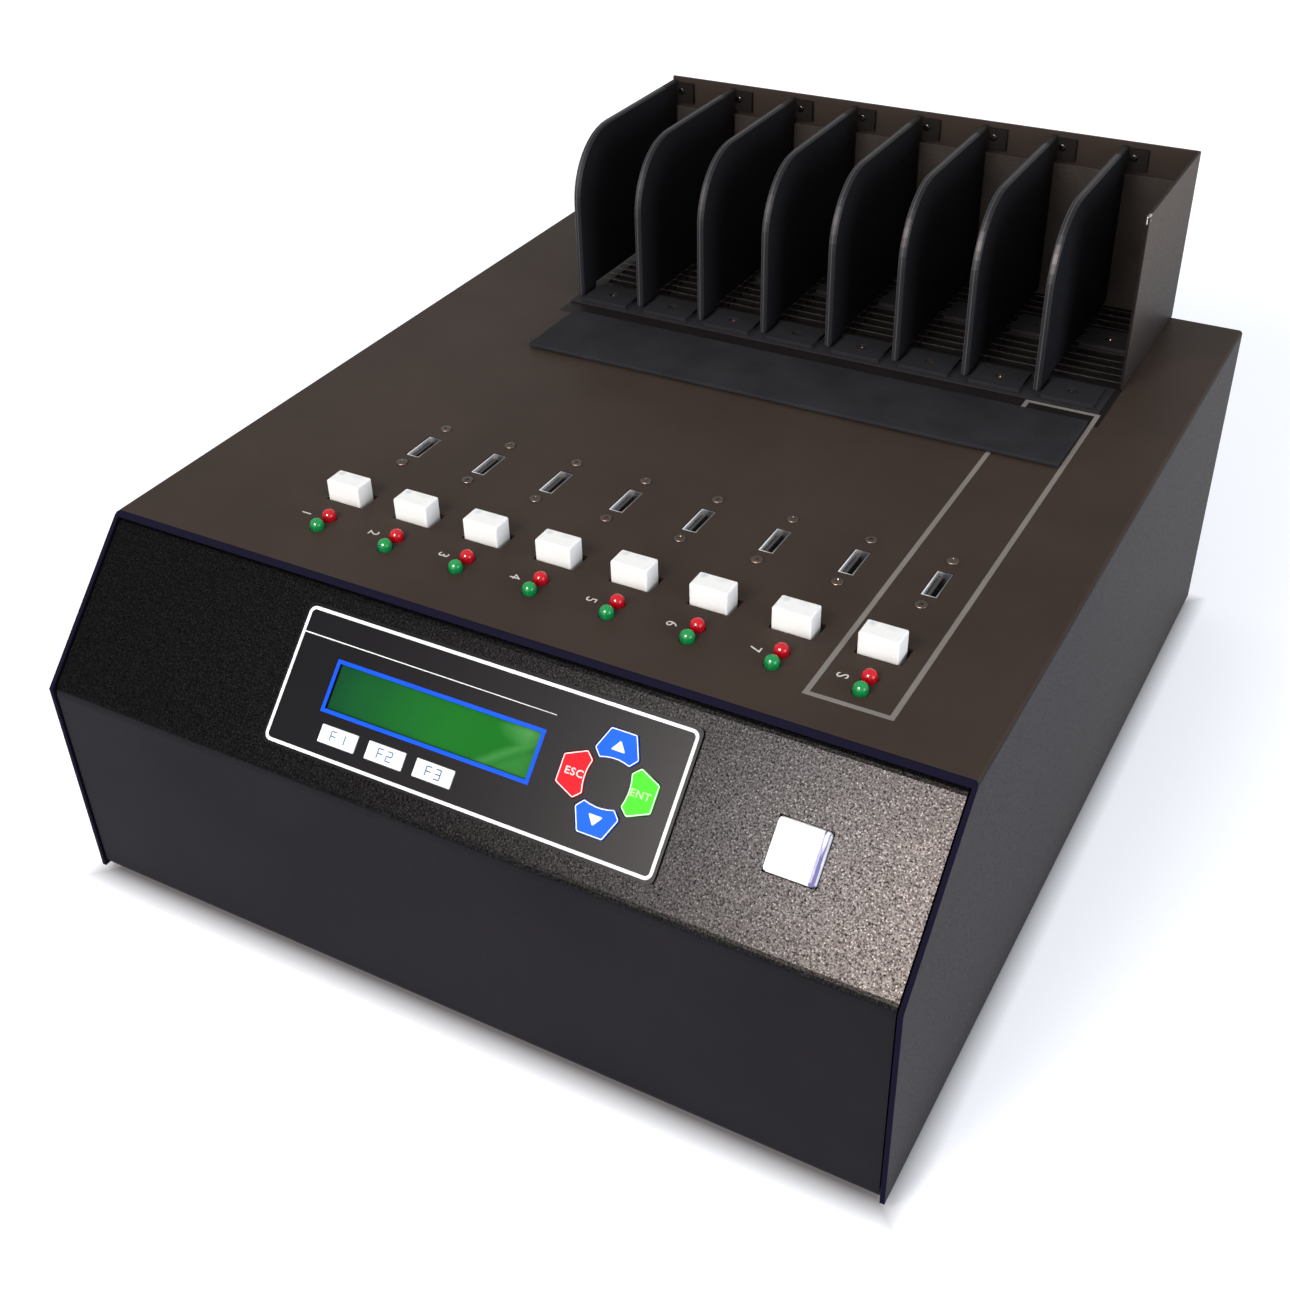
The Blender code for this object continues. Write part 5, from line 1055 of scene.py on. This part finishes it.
def guard_ear(sheet, reach, turn):
    """A long ear from the outer ring to this reach, where a screw holds it."""
    bpy.ops.mesh.primitive_circle_add(vertices=48, radius=EAR_HALF, fill_type="NGON")
    ear = added()
    start_editing(ear)
    pick(ear, "VERT", lambda corner: corner.co.x > -SAME_CORNER)
    bpy.ops.transform.translate(value=(reach - EAR_HALF - GUARD_RADIUS - EAR_START, 0, 0))
    stop_editing()
    stamped(ear, sheet - 2 * EAR_SINK, EAR_SINK)
    ear.data.transform(Matrix.Translation((GUARD_RADIUS + EAR_START, 0, 0)))
    ear.data.transform(Matrix.Rotation(turn, 4, "Z"))
    return ear


def make_fan_guard():
    """Rings on four spokes with four ears, finer than the solid that they replace."""
    low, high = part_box("fan_guard")
    middle = (low + high) / 2
    sheet = high.y - low.y
    parts = guard_bars(sheet)
    reach = (high.x - low.x) / 2 * math.sqrt(2) - EAR_HALF * (math.sqrt(2) - 1)
    for quarter in range(4):
        parts.append(guard_spoke(sheet, math.pi / 2 * quarter))
        parts.append(guard_ear(sheet, reach, math.pi / 2 * (quarter + 0.5)))
    guard = joined(parts)
    to_rear = Matrix.Rotation(-math.pi / 2, 4, "X")
    guard.data.transform(Matrix.Translation((middle.x, low.y, middle.z)) @ to_rear)
    finished(guard, "finger_guard", ZINC)
    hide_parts("fan_guard")


# Foam

def foam_sheet(node, paint, rounding):
    """A foam sheet with soft edges, in the node's place."""
    low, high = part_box(node)
    size = high - low
    bpy.ops.mesh.primitive_cube_add(size=1, location=(low + high) / 2)
    sheet = added(size)
    start_editing(sheet)
    pick(sheet, "EDGE", lambda edge: abs(edge.verts[0].co.x - edge.verts[1].co.x) > size.x / 2)
    bpy.ops.mesh.subdivide(number_cuts=FOAM_CUTS)
    stop_editing()
    modified(sheet, "BEVEL", width=rounding, segments=3, limit_method="ANGLE")
    finished(sheet, f"{node}_foam", paint)
    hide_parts(node)


make_lamps()
make_screws()
make_plate_printing()
make_panel_printing()
foam_sheet("rest_mat", MAT_FOAM, rounding=0.0006)
foam_sheet("back_pad", WALL_FOAM, rounding=0.0005)
make_pad_strip()
make_fan_guard()


# Stage: floor, world, lamps, camera

def seen_directly(tree):
    """1 for rays from the camera, off gloss and through glass, so that all of them show the backdrop."""
    path = tree.nodes.new("ShaderNodeLightPath")
    total = path.outputs["Is Camera Ray"]
    for name in ("Is Glossy Ray", "Is Transmission Ray"):
        larger = tree.nodes.new("ShaderNodeMath")
        larger.operation = "MAXIMUM"
        tree.links.new(total, larger.inputs[0])
        tree.links.new(path.outputs[name], larger.inputs[1])
        total = larger.outputs[0]
    return total


def make_floor():
    """Pale paper with a painted contact shadow, dark close to the case, that glows white further out, for the
    picture only.
    """
    bpy.ops.object.select_all(action="DESELECT")
    bpy.ops.mesh.primitive_plane_add(size=FLOOR_SIZE, location=(0, 0, 0))
    floor = bpy.context.object
    floor.name = "studio_floor"
    paint = Paint("studio_paper", Roughness=0.9)
    beside = abs(paint.axis("X")) - COVER_HIGH.x
    beyond = abs(paint.axis("Y") - (FRONT + REAR) / 2) - (REAR - FRONT) / 2
    # Painted shadow: close round the case the paper's colour and its glow are dark.
    past_painted_shadow = paint.spread(beside.most(beyond), SHADOW_INSIDE, SHADOW_OUTSIDE)
    paper = paint.mix(paint.noise(0.4), ink(226, 228, 234), ink(232, 234, 238))
    paint.set("Base Color", paint.mix(past_painted_shadow, ink(100, 100, 103), paper))
    away = (paint.axis("X") ** 2 + paint.axis("Y") ** 2) ** 0.5
    sky = paint.mix(paint.spread(away, GLOW_NEAR, GLOW_FAR), ink(168, 169, 171), ink(255, 255, 255))
    far_glow = paint.mix(past_painted_shadow, ink(4, 4, 5), sky)
    glow = paint.node("ShaderNodeEmission", {}, {"Color": far_glow})
    together = paint.tree.nodes.new("ShaderNodeAddShader")
    chooser = paint.tree.nodes.new("ShaderNodeMixShader")
    paint.tree.links.new(paint.shader.outputs[0], together.inputs[0])
    paint.tree.links.new(glow.socket, together.inputs[1])
    paint.tree.links.new(seen_directly(paint.tree), chooser.inputs[0])
    paint.tree.links.new(paint.shader.outputs[0], chooser.inputs[1])
    paint.tree.links.new(together.outputs[0], chooser.inputs[2])
    paint.tree.links.new(chooser.outputs[0], paint.tree.nodes["Material Output"].inputs[0])
    floor.data.materials.append(paint.material)


def make_world():
    """Plain light on the object, before a white backdrop."""
    world = bpy.data.worlds.new("studio")
    bpy.context.scene.world = world
    world.use_nodes = True
    tree = world.node_tree
    backdrop = tree.nodes["Background"]
    backdrop.inputs["Color"].default_value = (1, 1, 1, 1)
    backdrop.inputs["Strength"].default_value = 1.0
    ambient = tree.nodes.new("ShaderNodeBackground")
    ambient.inputs["Color"].default_value = (0.95, 0.97, 1.0, 1)
    ambient.inputs["Strength"].default_value = AMBIENT_STRENGTH
    chooser = tree.nodes.new("ShaderNodeMixShader")
    tree.links.new(seen_directly(tree), chooser.inputs[0])
    tree.links.new(ambient.outputs[0], chooser.inputs[1])
    tree.links.new(backdrop.outputs[0], chooser.inputs[2])
    tree.links.new(chooser.outputs[0], tree.nodes["World Output"].inputs[0])


def make_lamp(name, place, aim, size, power, colour, gloss_only=False):
    light = bpy.data.lights.new(name, "AREA")
    light.shape = "RECTANGLE"
    light.size, light.size_y = size
    light.energy = power
    light.color = colour
    lamp = bpy.data.objects.new(name, light)
    lamp.location = place
    lamp.rotation_euler = (Vector(aim) - Vector(place)).to_track_quat("-Z", "Y").to_euler()
    lamp.visible_diffuse = not gloss_only
    bpy.context.scene.collection.objects.link(lamp)


def make_camera():
    data = bpy.data.cameras.new("camera")
    data.lens = CAMERA_LENS_MM
    data.shift_x = CAMERA_SHIFT_X
    data.clip_start = 0.01
    camera = bpy.data.objects.new("camera", data)
    back = -CAMERA_LOOK.normalized()
    up = back.cross(CAMERA_RIGHT).normalized()
    right = up.cross(back)
    turn = Matrix((right, up, back)).transposed().to_4x4()
    camera.matrix_world = Matrix.Translation(CAMERA_PLACE) @ turn
    bpy.context.scene.collection.objects.link(camera)
    bpy.context.scene.camera = camera


make_floor()
make_world()
make_camera()
make_lamp(
    "key_lamp", place=(-0.17, -0.86, 0.82), aim=(0.05, -0.12, 0.10),
    size=(0.34, 0.34), power=5, colour=(1.0, 0.95, 0.90),
)
make_lamp(
    "glint_lamp", place=(0.02, -0.915, 0.77), aim=(0.10, -0.16, 0.10),
    size=(0.30, 0.30), power=47, colour=(1.0, 0.79, 0.69), gloss_only=True,
)
make_lamp(
    "strip_lamp", place=(-0.13, -0.86, 0.82), aim=(0.05, -0.14, 0.12),
    size=(0.22, 0.22), power=10, colour=(0.86, 0.90, 1.0), gloss_only=True,
)
make_lamp(
    "front_lamp", place=(-0.3, -1.6, 0.5), aim=(0, 0, 0.1),
    size=(1.0, 0.8), power=11, colour=(1.0, 0.97, 0.95),
)
make_lamp(
    "side_lamp", place=(1.6, -0.4, 0.5), aim=(0, 0, 0.1),
    size=(0.9, 0.9), power=19, colour=(0.88, 0.93, 1.0),
)
bpy.context.scene.view_settings.view_transform = "Standard"
